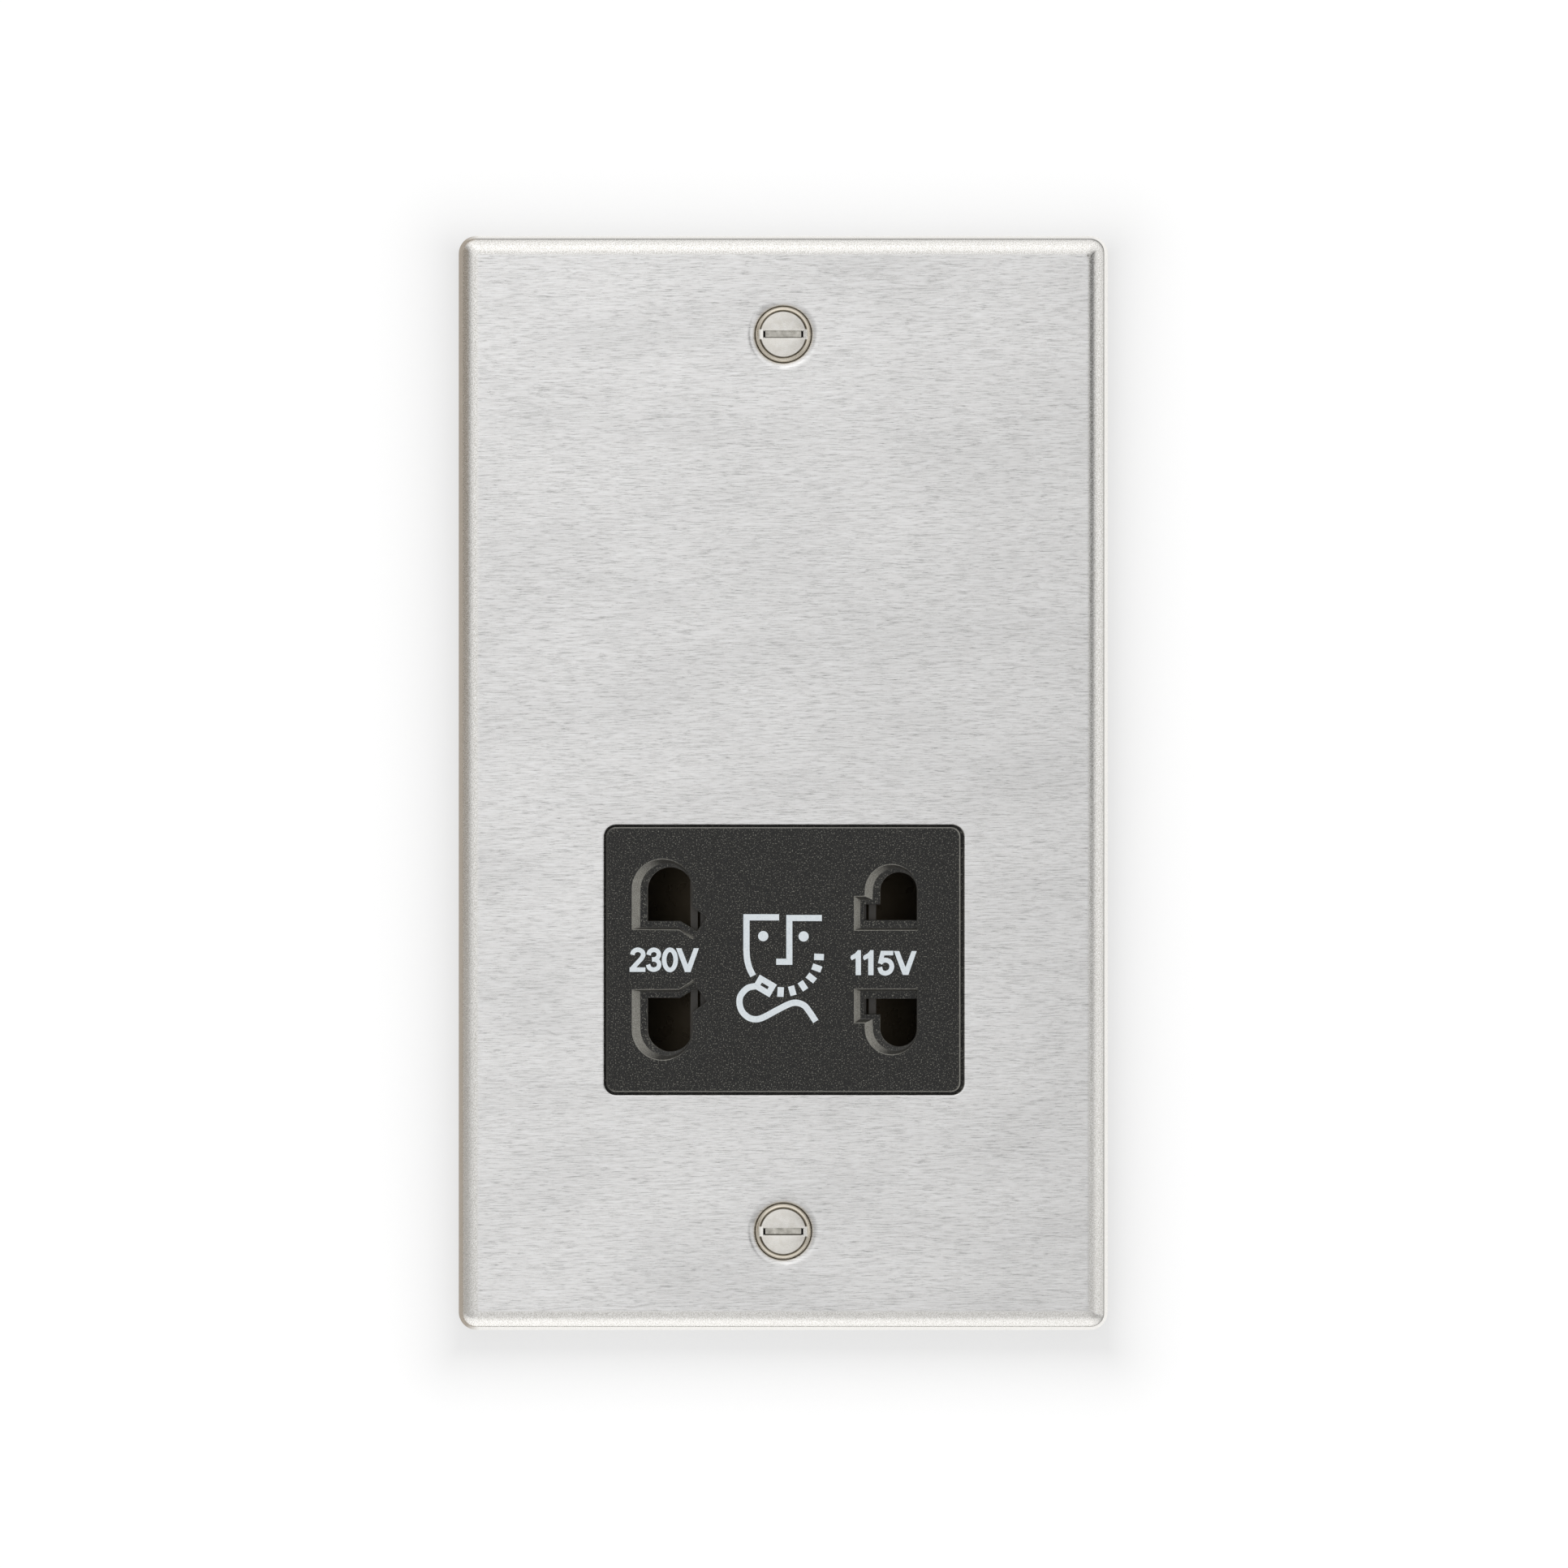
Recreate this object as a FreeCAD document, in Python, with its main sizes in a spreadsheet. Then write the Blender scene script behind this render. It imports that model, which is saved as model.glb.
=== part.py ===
import FreeCAD, Part
import math
import operator
import os
import Sketcher
from FreeCAD import Placement, Rotation, Vector

# A shaver supply unit for bathrooms, on a pressed steel plate for a two-gang wall box.
# Millimetres. X is right, Y goes into the wall and Z is up. The origin lies on the wall,
# midway between the two fixing screws, so the front of the plate faces -Y.

SIZES = {
    # Pressed steel front plate
    "plate_side_margin": 2.75,
    "plate_end_margin": 13.45,
    "plate_projection": 4.5,
    "plate_sheet": 0.8,
    "plate_corner": 2.4,
    "plate_draft": 0.75,
    "bevel_run": 1.3,
    "bevel_drop": 1.2,
    "bend_radius": 1.2,
    "window_play_wide": 0.5,
    "window_play_high": 0.3,
    "window_corner": 1.5,
    "window_shift": 0.1,
    "outlet_drop": 23.75,
    # Fixing screws and the pressed seats under their heads
    "fixing_clear": 8.3,
    "seat_rim_radius": 4.9,
    "seat_dish": 0.2,
    "screw_hole_play": 0.35,
    "seat_lip": 0.3,
    "screw_radius": 1.75,
    "screw_length": 25.0,
    "head_radius": 3.75,
    "head_flat_radius": 3.1,
    "head_raise": 0.6,
    "head_cone_depth": 2.0,
    "head_slot_width": 0.96,
    "head_slot_depth": 1.1,
    # Moulded socket face
    "face_corner": 1.3,
    "face_edge": 0.3,
    "face_proud": 0.3,
    "face_wall": 3.2,
    "flange_overhang": 0.5,
    "flange_lip_wide": 2.15,
    "flange_lip_high": 2.1,
    "lead_in_depth": 1.2,
    # Sliding shutter
    "shutter_gap": 0.4,
    "shutter_depth": 6.0,
    "shutter_height": 27.0,
    "shutter_ridge_outer": 12.5,
    "shutter_ridge": 1.0,
    "shutter_dip": 0.3,
    "shutter_travel": 6.0,
    "shutter_back_gap": 0.6,
    "bridge_recess_width": 19.0,
    "bridge_recess_height": 10.0,
    "bridge_recess_depth": 1.6,
    # Centring springs
    "spring_outer_radius": 1.8,
    "spring_wire": 0.4,
    "spring_bore_radius": 2.2,
    "spring_seat": 10.0,
    # Contact carrier
    "carrier_rim": 1.1,
    "carrier_end": 5.6,
    "channel_clearance": 0.4,
    "carrier_floor": 1.4,
    "tower_width": 44.0,
    "chamber_centre": 15.4,
    "chamber_play": 0.3,
    "chamber_depth": 10.0,
    "chamber_inner": 4.8,
    "chamber_height": 8.4,
    "carrier_screw_inset_wide": 3.0,
    "carrier_screw_inset_high": 2.7,
    "carrier_screw_radius": 1.25,
    "carrier_screw_length": 8.6,
    "small_head_radius": 2.3,
    "small_head_depth": 1.5,
    # Pin contacts and switch strips
    "contact_sheet": 0.4,
    "contact_mouth": 2.9,
    "contact_pinch": 1.9,
    "contact_base": 2.5,
    "contact_width": 7.2,
    "tab_width": 4.0,
    "tab_length": 4.6,
    "strip_sheet": 0.4,
    "strip_width": 2.0,
    "strip_half_length": 11.0,
    "wiper_row": 2.6,
    "wiper_gap": 2.5,
    "wiper_clearance": 0.15,
    "bridge_sheet": 0.3,
    "bridge_width": 2.4,
    "tail_length": 14.0,
    # Mains transformer
    "core_side": 2.0,
    "core_height": 40.0,
    "core_stack": 18.0,
    "core_leg": 8.0,
    "core_base": 4.0,
    "core_front": 9.0,
    "core_hole_inset": 4.0,
    "core_hole_play": 0.25,
    "core_screw_radius": 1.5,
    "bobbin_wall": 0.8,
    "bobbin_clearance": 0.1,
    "bobbin_flange": 1.0,
    "winding_margin": 0.6,
    "winding_split": 1.0,
    "tape_sheet": 0.3,
    "cutout_width": 10.0,
    "cutout_height": 5.0,
    "cutout_depth": 2.4,
    # Rear housing
    "core_headroom": 8.0,
    "housing_wall": 1.8,
    "housing_corner": 3.0,
    "shallow_room": 2.2,
    "deep_room": 1.2,
    "housing_clearance": 0.2,
    "ear_height": 9.0,
    "ear_corner": 2.0,
    "post_radius": 3.5,
    "pilot_radius": 1.2,
    "pad_width": 6.0,
    "vent_width": 2.4,
    "vent_length": 20.0,
    "vent_pitch": 4.8,
    # Weld studs with their washers and nuts
    "stud_radius": 1.5,
    "stud_length": 7.0,
    "stud_hole_play": 0.2,
    "washer_rim": 0.35,
    "washer_gap": 0.4,
    "washer_sheet": 0.5,
    "nut_across_flats": 5.5,
    "nut_depth": 2.4,
    # Mains terminals
    "block_side": 6.8,
    "block_head": 5.6,
    "block_back": 2.0,
    "block_lift": 1.5,
    "terminal_pitch": 10.5,
    "clamp_width": 7.2,
    "clamp_height": 10.0,
    "clamp_depth": 8.6,
    "clamp_window": 5.0,
    "clamp_wall": 1.0,
    "clamp_clearance": 0.1,
    "block_wall": 1.4,
    "terminal_screw_radius": 1.75,
    "terminal_screw_proud": 0.8,
    "block_screw_inset": 2.5,
    # Earth tab on the plate
    "earth_gap": 5.0,
    "earth_level": -30.0,
    "earth_foot": 8.0,
    "earth_width": 10.0,
    "earth_rise": 9.0,
    "earth_sheet": 0.8,
}

SIGNS = {"+": operator.add, "-": operator.sub, "*": operator.mul, "/": operator.truediv}


class Size:
    """A size with the sheet formula that gives it, so that a sum of sizes is bound as one."""

    def __init__(self, value, formula):
        self.value = value
        self.formula = formula

    def __add__(self, other):
        return combined(self, "+", other)

    def __radd__(self, other):
        return combined(other, "+", self)

    def __sub__(self, other):
        return combined(self, "-", other)

    def __rsub__(self, other):
        return combined(other, "-", self)

    def __mul__(self, other):
        return combined(self, "*", other)

    def __rmul__(self, other):
        return combined(other, "*", self)

    def __truediv__(self, other):
        return combined(self, "/", other)

    def __neg__(self):
        return combined(0, "-", self)


def number(size):
    return size.value if isinstance(size, Size) else float(size)


def formula(size):
    return size.formula if isinstance(size, Size) else "(%.9f)" % size


def combined(left, sign, right):
    value = SIGNS[sign](number(left), number(right))
    return Size(value, "(%s %s %s)" % (formula(left), sign, formula(right)))


class Named:
    """The sizes of the sheet by name."""

    def __init__(self, sheet):
        for row, (name, value) in enumerate(SIZES.items(), start=1):
            sheet.set("A%d" % row, name)
            sheet.set("B%d" % row, str(value))
            sheet.setAlias("B%d" % row, name)
            setattr(self, name, Size(value, "sizes." + name))


doc = FreeCAD.newDocument("shaver_socket")
d = Named(doc.addObject("Spreadsheet::Sheet", "sizes"))
doc.recompute()
nodes = {}


def bind(item, name, size):
    item.setExpression(name, formula(size))


def keep(name, item):
    """Names a finished sub-part, which is written to a file of that name."""
    item.Label = name
    nodes[name] = item
    return item


# Sketched pieces

def new_body(name):
    return keep(name, doc.addObject("PartDesign::Body", name))


def pin(drawing, kind, item, vertex, size):
    """Holds one coordinate of a sketch point at a distance from the origin."""
    constraint = Sketcher.Constraint(kind, -1, 1, item, vertex, number(size))
    index = drawing.addConstraint(constraint)
    drawing.setExpression("Constraints[%d]" % index, formula(size))


def add_circle(drawing, circle):
    across, along, radius = circle
    centre = Vector(number(across), number(along), 0)
    item = drawing.addGeometry(Part.Circle(centre, Vector(0, 0, 1), number(radius)))
    pin(drawing, "DistanceX", item, 3, across)
    pin(drawing, "DistanceY", item, 3, along)
    index = drawing.addConstraint(Sketcher.Constraint("Radius", item, number(radius)))
    drawing.setExpression("Constraints[%d]" % index, formula(radius))


def segment(start, corner):
    """A line, or an arc about a centre, from one corner to the next, with its two vertices."""
    first = Vector(number(start[0]), number(start[1]), 0)
    last = Vector(number(corner[0]), number(corner[1]), 0)
    if len(corner) == 2:
        return Part.LineSegment(first, last), 1, 2
    centre = Vector(number(corner[2]), number(corner[3]), 0)
    begin = math.atan2(first.y - centre.y, first.x - centre.x)
    end = math.atan2(last.y - centre.y, last.x - centre.x)
    circle = Part.Circle(centre, Vector(0, 0, 1), (first - centre).Length)
    if corner[4] == "left":
        return Part.ArcOfCircle(circle, begin, end), 1, 2
    return Part.ArcOfCircle(circle, end, begin), 2, 1


def add_outline(drawing, corners):
    """A closed outline. A corner is (x, y), or (x, y, centre x, centre y, turn) for an arc."""
    pieces = []
    start = corners[-1]
    for corner in corners:
        shape, begin, end = segment(start, corner)
        pieces.append((drawing.addGeometry(shape), begin, end))
        start = corner
    for index, corner in enumerate(corners):
        item, begin, end = pieces[index]
        following, next_begin, next_end = pieces[(index + 1) % len(pieces)]
        drawing.addConstraint(Sketcher.Constraint("Coincident", item, end, following, next_begin))
        if len(corner) == 2:
            pin(drawing, "DistanceX", item, end, corner[0])
            pin(drawing, "DistanceY", item, end, corner[1])
            continue
        pin(drawing, "DistanceX", item, 3, corner[2])
        pin(drawing, "DistanceY", item, 3, corner[3])
        reach_x = abs(number(corner[0]) - number(corner[2]))
        reach_y = abs(number(corner[1]) - number(corner[3]))
        if reach_x > reach_y:
            pin(drawing, "DistanceY", item, end, corner[1])
        else:
            pin(drawing, "DistanceX", item, end, corner[0])


def sketch(body, plane, offset, outlines):
    drawing = body.newObject("Sketcher::SketchObject", "Sketch")
    support = [item for item in body.Origin.OriginFeatures if item.Role == plane][0]
    drawing.AttachmentSupport = [(support, "")]
    drawing.MapMode = "FlatFace"
    bind(drawing, "AttachmentOffset.Base.z", offset)
    for outline in outlines:
        if isinstance(outline, tuple):
            add_circle(drawing, outline)
        else:
            add_outline(drawing, outline)
    return drawing


def slab(body, plane, low, high, outlines):
    """Adds material between two places on the axis across a plane."""
    offset = -high if plane == "XZ_Plane" else low
    pad = body.newObject("PartDesign::Pad", "Pad")
    pad.Profile = sketch(body, plane, offset, outlines)
    bind(pad, "Length", high - low)
    body.Tip = pad
    return pad


def recess(body, plane, low, high, outlines):
    """Cuts material away between two places on the axis across a plane."""
    offset = -low if plane == "XZ_Plane" else high
    pocket = body.newObject("PartDesign::Pocket", "Pocket")
    pocket.Profile = sketch(body, plane, offset, outlines)
    bind(pocket, "Length", high - low)
    body.Tip = pocket
    return pocket


def revolve(body, kind, height, profile):
    """Turns a profile of (depth, radius) corners about a line along Y at a height."""
    feature = body.newObject("PartDesign::" + kind, kind)
    feature.Profile = sketch(body, "YZ_Plane", 0, [profile])
    bind(feature.Profile[0], "AttachmentOffset.Base.y", height)
    feature.ReferenceAxis = (feature.Profile[0], ["H_Axis"])
    feature.Angle = 360
    body.Tip = feature


def loft(body, kind, sections):
    """Joins outlines at several depths in front of the wall with straight sides."""
    drawings = [sketch(body, "XZ_Plane", -depth, [outline]) for depth, outline in sections]
    feature = body.newObject("PartDesign::" + kind, kind)
    feature.Profile = drawings[0]
    feature.Sections = drawings[1:]
    feature.Ruled = True
    body.Tip = feature


def soften(body, kind, size, chosen):
    """Rounds or bevels the chosen edges of a body. The kind is Fillet or Chamfer."""
    doc.recompute()
    base = body.Tip
    names = ["Edge%d" % count for count, edge in enumerate(base.Shape.Edges, start=1) if chosen(edge)]
    feature = body.newObject("PartDesign::" + kind, kind)
    feature.Base = (base, names)
    bind(feature, "Radius" if kind == "Fillet" else "Size", size)
    body.Tip = feature


def at_depth(edge, depth):
    """Tells whether an edge lies in the plane at a depth."""
    box = edge.BoundBox
    return abs(box.YMin - number(depth)) < 1e-4 and abs(box.YMax - number(depth)) < 1e-4


def rectangle(left, low, right, high):
    return [(right, low), (right, high), (left, high), (left, low)]


def rounded(left, low, right, high, radius):
    """A rectangle with round corners."""
    return [
        (right - radius, low),
        (right, low + radius, right - radius, low + radius, "left"),
        (right, high - radius),
        (right - radius, high, right - radius, high - radius, "left"),
        (left + radius, high),
        (left, high - radius, left + radius, high - radius, "left"),
        (left, low + radius),
        (left + radius, low, left + radius, low + radius, "left"),
    ]


def cut_cornered(left, low, right, high, cut_back):
    """A rectangle whose corners are cut off."""
    return [
        (right - cut_back, low),
        (right, low + cut_back),
        (right, high - cut_back),
        (right - cut_back, high),
        (left + cut_back, high),
        (left, high - cut_back),
        (left, low + cut_back),
        (left + cut_back, low),
    ]


def centred(width, height, radius, middle=0, level=0):
    """A round-cornered rectangle about a middle and a level."""
    half_width = width / 2
    half_height = height / 2
    return rounded(middle - half_width, level - half_height,
                   middle + half_width, level + half_height, radius)


def boxed(width, height):
    """A rectangle about the centre line of the outlets."""
    half_height = height / 2
    return rectangle(-width / 2, outlet_level - half_height, width / 2, outlet_level + half_height)


def strip(points, sheet):
    """The outline of a folded strip: its points, then the same folds a sheet to their right."""
    units = []
    for start, end in zip(points, points[1:]):
        run = Vector(number(end[0]) - number(start[0]), number(end[1]) - number(start[1]), 0)
        units.append(run.normalize())
    far_side = []
    for index, point in enumerate(points):
        before = units[max(index - 1, 0)]
        after = units[min(index, len(units) - 1)]
        share = 1 / (1 + before.dot(after))
        across = Vector(before.y + after.y, -before.x - after.x, 0) * share
        far_side.append((point[0] + sheet * across.x, point[1] + sheet * across.y))
    return list(points) + far_side[::-1]


# Turned and plain pieces

TURNS = {
    "X": Rotation(Vector(0, 1, 0), 90),
    "Y": Rotation(Vector(1, 0, 0), -90),
    "Z": Rotation(),
}


def put(item, place, axis="Z"):
    item.Placement = Placement(Vector(), TURNS[axis])
    for name, size in zip("xyz", place):
        bind(item, "Placement.Base." + name, size)
    return item


def block(low, high):
    """A box between two corners."""
    box = doc.addObject("Part::Box", "Box")
    for name, start, end in zip(("Length", "Width", "Height"), low, high):
        bind(box, name, end - start)
    return put(box, low)


def rod(place, axis, radius, length):
    """A cylinder that starts at a place and runs along an axis."""
    cylinder = doc.addObject("Part::Cylinder", "Cylinder")
    bind(cylinder, "Radius", radius)
    bind(cylinder, "Height", length)
    return put(cylinder, place, axis)


def fuse(pieces):
    joined = doc.addObject("Part::MultiFuse", "Fusion")
    joined.Shapes = pieces
    return joined


def cut(base, tools):
    result = doc.addObject("Part::Cut", "Cut")
    result.Base = base
    result.Tool = tools[0] if len(tools) == 1 else fuse(tools)
    return result


def group(pieces):
    compound = doc.addObject("Part::Compound", "Group")
    compound.Links = pieces
    return compound


def opposite(pitch_wide, pitch_high, level):
    """Two opposite corners of a rectangle about a level."""
    return [(pitch_wide / 2 * side, level + pitch_high / 2 * side) for side in (-1, 1)]


# Depths and levels that several pieces share

sheet_front = -d.plate_projection
sheet_back = sheet_front + d.plate_sheet
outlet_level = -d.outlet_drop
face_front = sheet_front - d.face_proud
face_back = face_front + d.face_wall
shutter_front = face_back + d.shutter_gap
shutter_back = shutter_front + d.shutter_depth
shutter_ridge_inner = d.shutter_ridge_outer - d.shutter_ridge
shutter_reach = d.shutter_ridge_outer + d.shutter_depth
channel_half = shutter_reach + d.shutter_travel + d.channel_clearance
floor_front = shutter_back + d.shutter_back_gap
floor_back = floor_front + d.carrier_floor
chamber_back = floor_front + d.chamber_depth
tower_back = chamber_back + d.carrier_floor
strip_front = floor_front - d.strip_sheet
core_back = d.core_front + d.core_stack
core_top = d.core_base + d.core_height
core_middle = d.core_base + d.core_height / 2
ear_back = sheet_back + d.housing_wall

# Widths and heights, worked out from the inside outwards

carrier_width = (channel_half + d.carrier_rim) * 2
carrier_height = (d.shutter_height / 2 + d.channel_clearance + d.carrier_end) * 2
carrier_screw_wide = carrier_width - d.carrier_screw_inset_wide * 2
carrier_screw_high = carrier_height - d.carrier_screw_inset_high * 2
tower_height = carrier_screw_high - d.small_head_radius * 2
chamber_width = (d.contact_mouth + d.contact_sheet + d.chamber_play) * 2
flange_width = carrier_width
flange_height = carrier_height + d.flange_overhang * 2
face_width = flange_width - d.flange_lip_wide * 2
face_height = flange_height - d.flange_lip_high * 2
window_width = face_width + d.window_play_wide
window_height = face_height + d.window_play_high
core_half = carrier_width / 2 - d.core_side
bobbin_reach = core_half - d.core_leg * 2
housing_half_width = carrier_width / 2 + d.housing_clearance + d.housing_wall
housing_half_height = core_top + d.core_headroom
shallow_inner = chamber_back + d.tab_length + d.shallow_room
shallow_back = shallow_inner + d.housing_wall
deep_inner = core_back + bobbin_reach + d.deep_room
deep_back = deep_inner + d.housing_wall
block_base = d.block_lift - housing_half_height
block_height = d.block_wall + d.clamp_height + d.block_head
block_top = block_base + block_height
block_depth = d.block_wall + d.clamp_depth + d.block_back
block_half = d.terminal_pitch + d.clamp_width / 2 + d.clamp_clearance + d.block_side
housing_step = block_top + d.housing_clearance
washer_radius = d.nut_across_flats / 2 + d.washer_rim
ear_reach = (washer_radius + d.washer_gap) * 2
stud_reach = housing_half_width + ear_reach / 2
stud_hole_radius = d.stud_radius + d.stud_hole_play
fixing_reach = housing_half_height + d.fixing_clear
screw_hole_radius = d.screw_radius + d.screw_hole_play
earth_place = housing_half_width + d.earth_gap
plate_width = (earth_place + d.earth_foot + d.plate_side_margin) * 2
plate_height = (fixing_reach + d.plate_end_margin) * 2


def front_plate():
    """A pressed sheet: drafted sides, a bevelled rim, a window and two dished screw seats."""
    body = new_body("front_plate")
    outer_bevel = sheet_front + d.bevel_drop
    inner_bevel = outer_bevel + d.plate_sheet * 0.55
    slope = d.bevel_run / d.bevel_drop

    def section(depth, inset, corner):
        return depth, centred(plate_width - inset * 2, plate_height - inset * 2, corner)

    loft(body, "AdditiveLoft", [
        section(Size(0.0, "0"), Size(0.0, "0"), d.plate_corner),
        section(outer_bevel, d.plate_draft, d.plate_corner - d.plate_draft),
        section(sheet_front, d.plate_draft + d.bevel_run, d.plate_corner / 4),
    ])
    soften(body, "Fillet", d.bend_radius, lambda edge: at_depth(edge, sheet_front))
    inner_start = d.plate_draft + d.plate_sheet
    inner_end = inner_start + (inner_bevel - sheet_back) * slope
    loft(body, "SubtractiveLoft", [
        section(Size(0.0, "0"), d.plate_sheet, d.plate_corner - d.plate_sheet),
        section(inner_bevel, inner_start, d.plate_corner / 2),
        section(sheet_back, inner_end, d.plate_corner / 4),
    ])
    window = centred(window_width, window_height, d.window_corner, d.window_shift, outlet_level)
    recess(body, "XZ_Plane", sheet_front, sheet_back + d.plate_sheet, [window])

    def window_edge(edge):
        box = edge.BoundBox
        across = abs(box.Center.x) < number(window_width) * 0.6
        level = abs(box.Center.z + number(d.outlet_drop)) < number(window_height) * 0.6
        return at_depth(edge, sheet_front) and across and level

    soften(body, "Chamfer", d.plate_sheet / 4, window_edge)
    for side in (1, -1):
        screw_seat(body, fixing_reach * side)


def screw_seat(body, height):
    """A shallow dish in the sheet that runs into a cone for a countersunk head."""
    recess(body, "XZ_Plane", sheet_front, sheet_back + d.plate_sheet, [(0, height, d.seat_rim_radius)])
    dish = sheet_front + d.seat_dish
    cone_radius = d.head_radius + 0.2
    cone_foot = dish + cone_radius - screw_hole_radius
    lip = cone_foot + d.seat_lip
    lip_radius = screw_hole_radius + d.plate_sheet * math.sqrt(2) - d.seat_lip
    revolve(body, "Revolution", height, [
        (sheet_front, d.seat_rim_radius),
        (dish, cone_radius),
        (cone_foot, screw_hole_radius),
        (lip, screw_hole_radius),
        (lip, lip_radius),
        (dish + d.plate_sheet, cone_radius + d.plate_sheet * 0.41),
        (sheet_back, d.seat_rim_radius),
    ])


def fixing_screw(name, side):
    """A slotted raised countersunk screw for the wall box."""
    body = new_body(name)
    height = fixing_reach * side
    rim = sheet_front + d.seat_dish + 0.05
    crown = rim - d.head_raise
    neck = rim + d.head_cone_depth
    end = rim + d.screw_length
    revolve(body, "Revolution", height, [
        (crown, 0),
        (crown, d.head_flat_radius),
        (rim, d.head_radius),
        (neck, d.screw_radius),
        (end, d.screw_radius),
        (end, 0),
    ])
    half_slot = d.head_slot_width / 2
    groove = rectangle(-d.head_radius, height - half_slot, d.head_radius, height + half_slot)
    recess(body, "XZ_Plane", crown, crown + d.head_slot_depth, [groove])


# Outlines of the pin slots, seen from the front, with heights from the centre line of the
# outlets. The upper row is drawn, and a side of -1 mirrors it for the lower row.

def row(corners, side):
    """Places corners, whose heights are from the outlet line, in one row of pin slots."""
    placed = []
    for corner in corners:
        across = Size(corner[0], "%.3f" % corner[0])
        if len(corner) == 2:
            placed.append((across, outlet_level + corner[1] * side))
        else:
            turn = corner[4] if side > 0 else {"left": "right", "right": "left"}[corner[4]]
            placed.append((across, outlet_level + corner[1] * side, corner[2],
                           outlet_level + corner[3] * side, turn))
    return placed


SLOT_230_MOUTH = [
    (-14.0, 4.0),
    (-12.1, 2.75),
    (-10.2, 5.7),
    (-12.17, 7.15),
    (-12.17, 9.46),
    (-20.31, 9.46, -16.24, 9.46, "left"),
    (-20.31, 4.05),
]
SLOT_230_THROAT = [
    (-13.85, 5.17),
    (-11.65, 3.8),
    (-10.2, 5.7),
    (-12.17, 7.15),
    (-12.17, 9.36),
    (-18.23, 9.36, -15.2, 9.36, "left"),
    (-18.23, 5.17),
]
SLOT_115_MOUTH = [
    (18.06, 3.95),
    (18.06, 9.28),
    (11.02, 9.28, 14.54, 9.28, "left"),
    (11.02, 8.5),
    (9.55, 8.5),
    (9.55, 3.95),
]
SLOT_115_THROAT = [
    (18.06, 5.28),
    (18.06, 9.21),
    (13.04, 9.21, 15.55, 9.21, "left"),
    (13.04, 7.4),
    (10.85, 7.4),
    (10.85, 5.28),
]


def socket_face():
    """The moulded face with its flange behind the plate and four pin slots with lead-ins."""
    body = new_body("socket_face")
    half_width = flange_width / 2
    half_height = flange_height / 2
    flange = cut_cornered(-half_width, outlet_level - half_height,
                          half_width, outlet_level + half_height, d.face_corner)
    slab(body, "XZ_Plane", sheet_back, face_back, [flange])
    front = centred(face_width, face_height, d.face_corner, 0, outlet_level)
    slab(body, "XZ_Plane", face_front, sheet_back, [front])
    soften(body, "Chamfer", d.face_edge, lambda edge: at_depth(edge, face_front))
    for side in (1, -1):
        for mouth, throat in ((SLOT_230_MOUTH, SLOT_230_THROAT), (SLOT_115_MOUTH, SLOT_115_THROAT)):
            recess(body, "XZ_Plane", face_front, face_back, [row(throat, side)])
            loft(body, "SubtractiveLoft", [
                (face_front, row(mouth, side)),
                (face_front + d.lead_in_depth, row(throat, side)),
            ])
    bores = [(across, level, d.pilot_radius) for across, level in carrier_screw_places()]
    recess(body, "XZ_Plane", face_back - 1.6, face_back, bores)


def carrier_screw_places():
    return opposite(carrier_screw_wide, carrier_screw_high, outlet_level)


def shutter_slide():
    """A slider with a ramp at each end: a plug pushed in at one side blocks the other."""
    body = new_body("shutter_slide")
    plan = [
        (-shutter_reach, shutter_back),
        (-d.shutter_ridge_outer, shutter_front),
        (-shutter_ridge_inner, shutter_front),
        (-shutter_ridge_inner + d.shutter_dip, shutter_front + d.shutter_dip),
        (shutter_ridge_inner - d.shutter_dip, shutter_front + d.shutter_dip),
        (shutter_ridge_inner, shutter_front),
        (d.shutter_ridge_outer, shutter_front),
        (shutter_reach, shutter_back),
    ]
    half = d.shutter_height / 2
    slab(body, "XY_Plane", outlet_level - half, outlet_level + half, [plan])
    recess_half_width = d.bridge_recess_width / 2
    recess_half_height = d.bridge_recess_height / 2
    pocket = rectangle(-recess_half_width, outlet_level - recess_half_height,
                       recess_half_width, outlet_level + recess_half_height)
    recess(body, "XZ_Plane", shutter_back - d.bridge_recess_depth, shutter_back, [pocket])
    bore = (spring_depth(), outlet_level, d.spring_bore_radius)
    recess(body, "YZ_Plane", d.spring_seat, shutter_reach, [bore])
    recess(body, "YZ_Plane", -shutter_reach, -d.spring_seat, [bore])


def spring_depth():
    return shutter_front + d.shutter_depth / 2 + 0.4


def centring_springs():
    """Two compression springs that hold the slider in the middle, as plain tubes."""
    length = channel_half - d.spring_seat
    bore = d.spring_outer_radius - d.spring_wire
    for name, start in (("centring_spring_left", -channel_half), ("centring_spring_right", d.spring_seat)):
        place = (start, spring_depth(), outlet_level)
        tube = cut(rod(place, "X", d.spring_outer_radius, length), [rod(place, "X", bore, length)])
        keep(name, tube)


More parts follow.
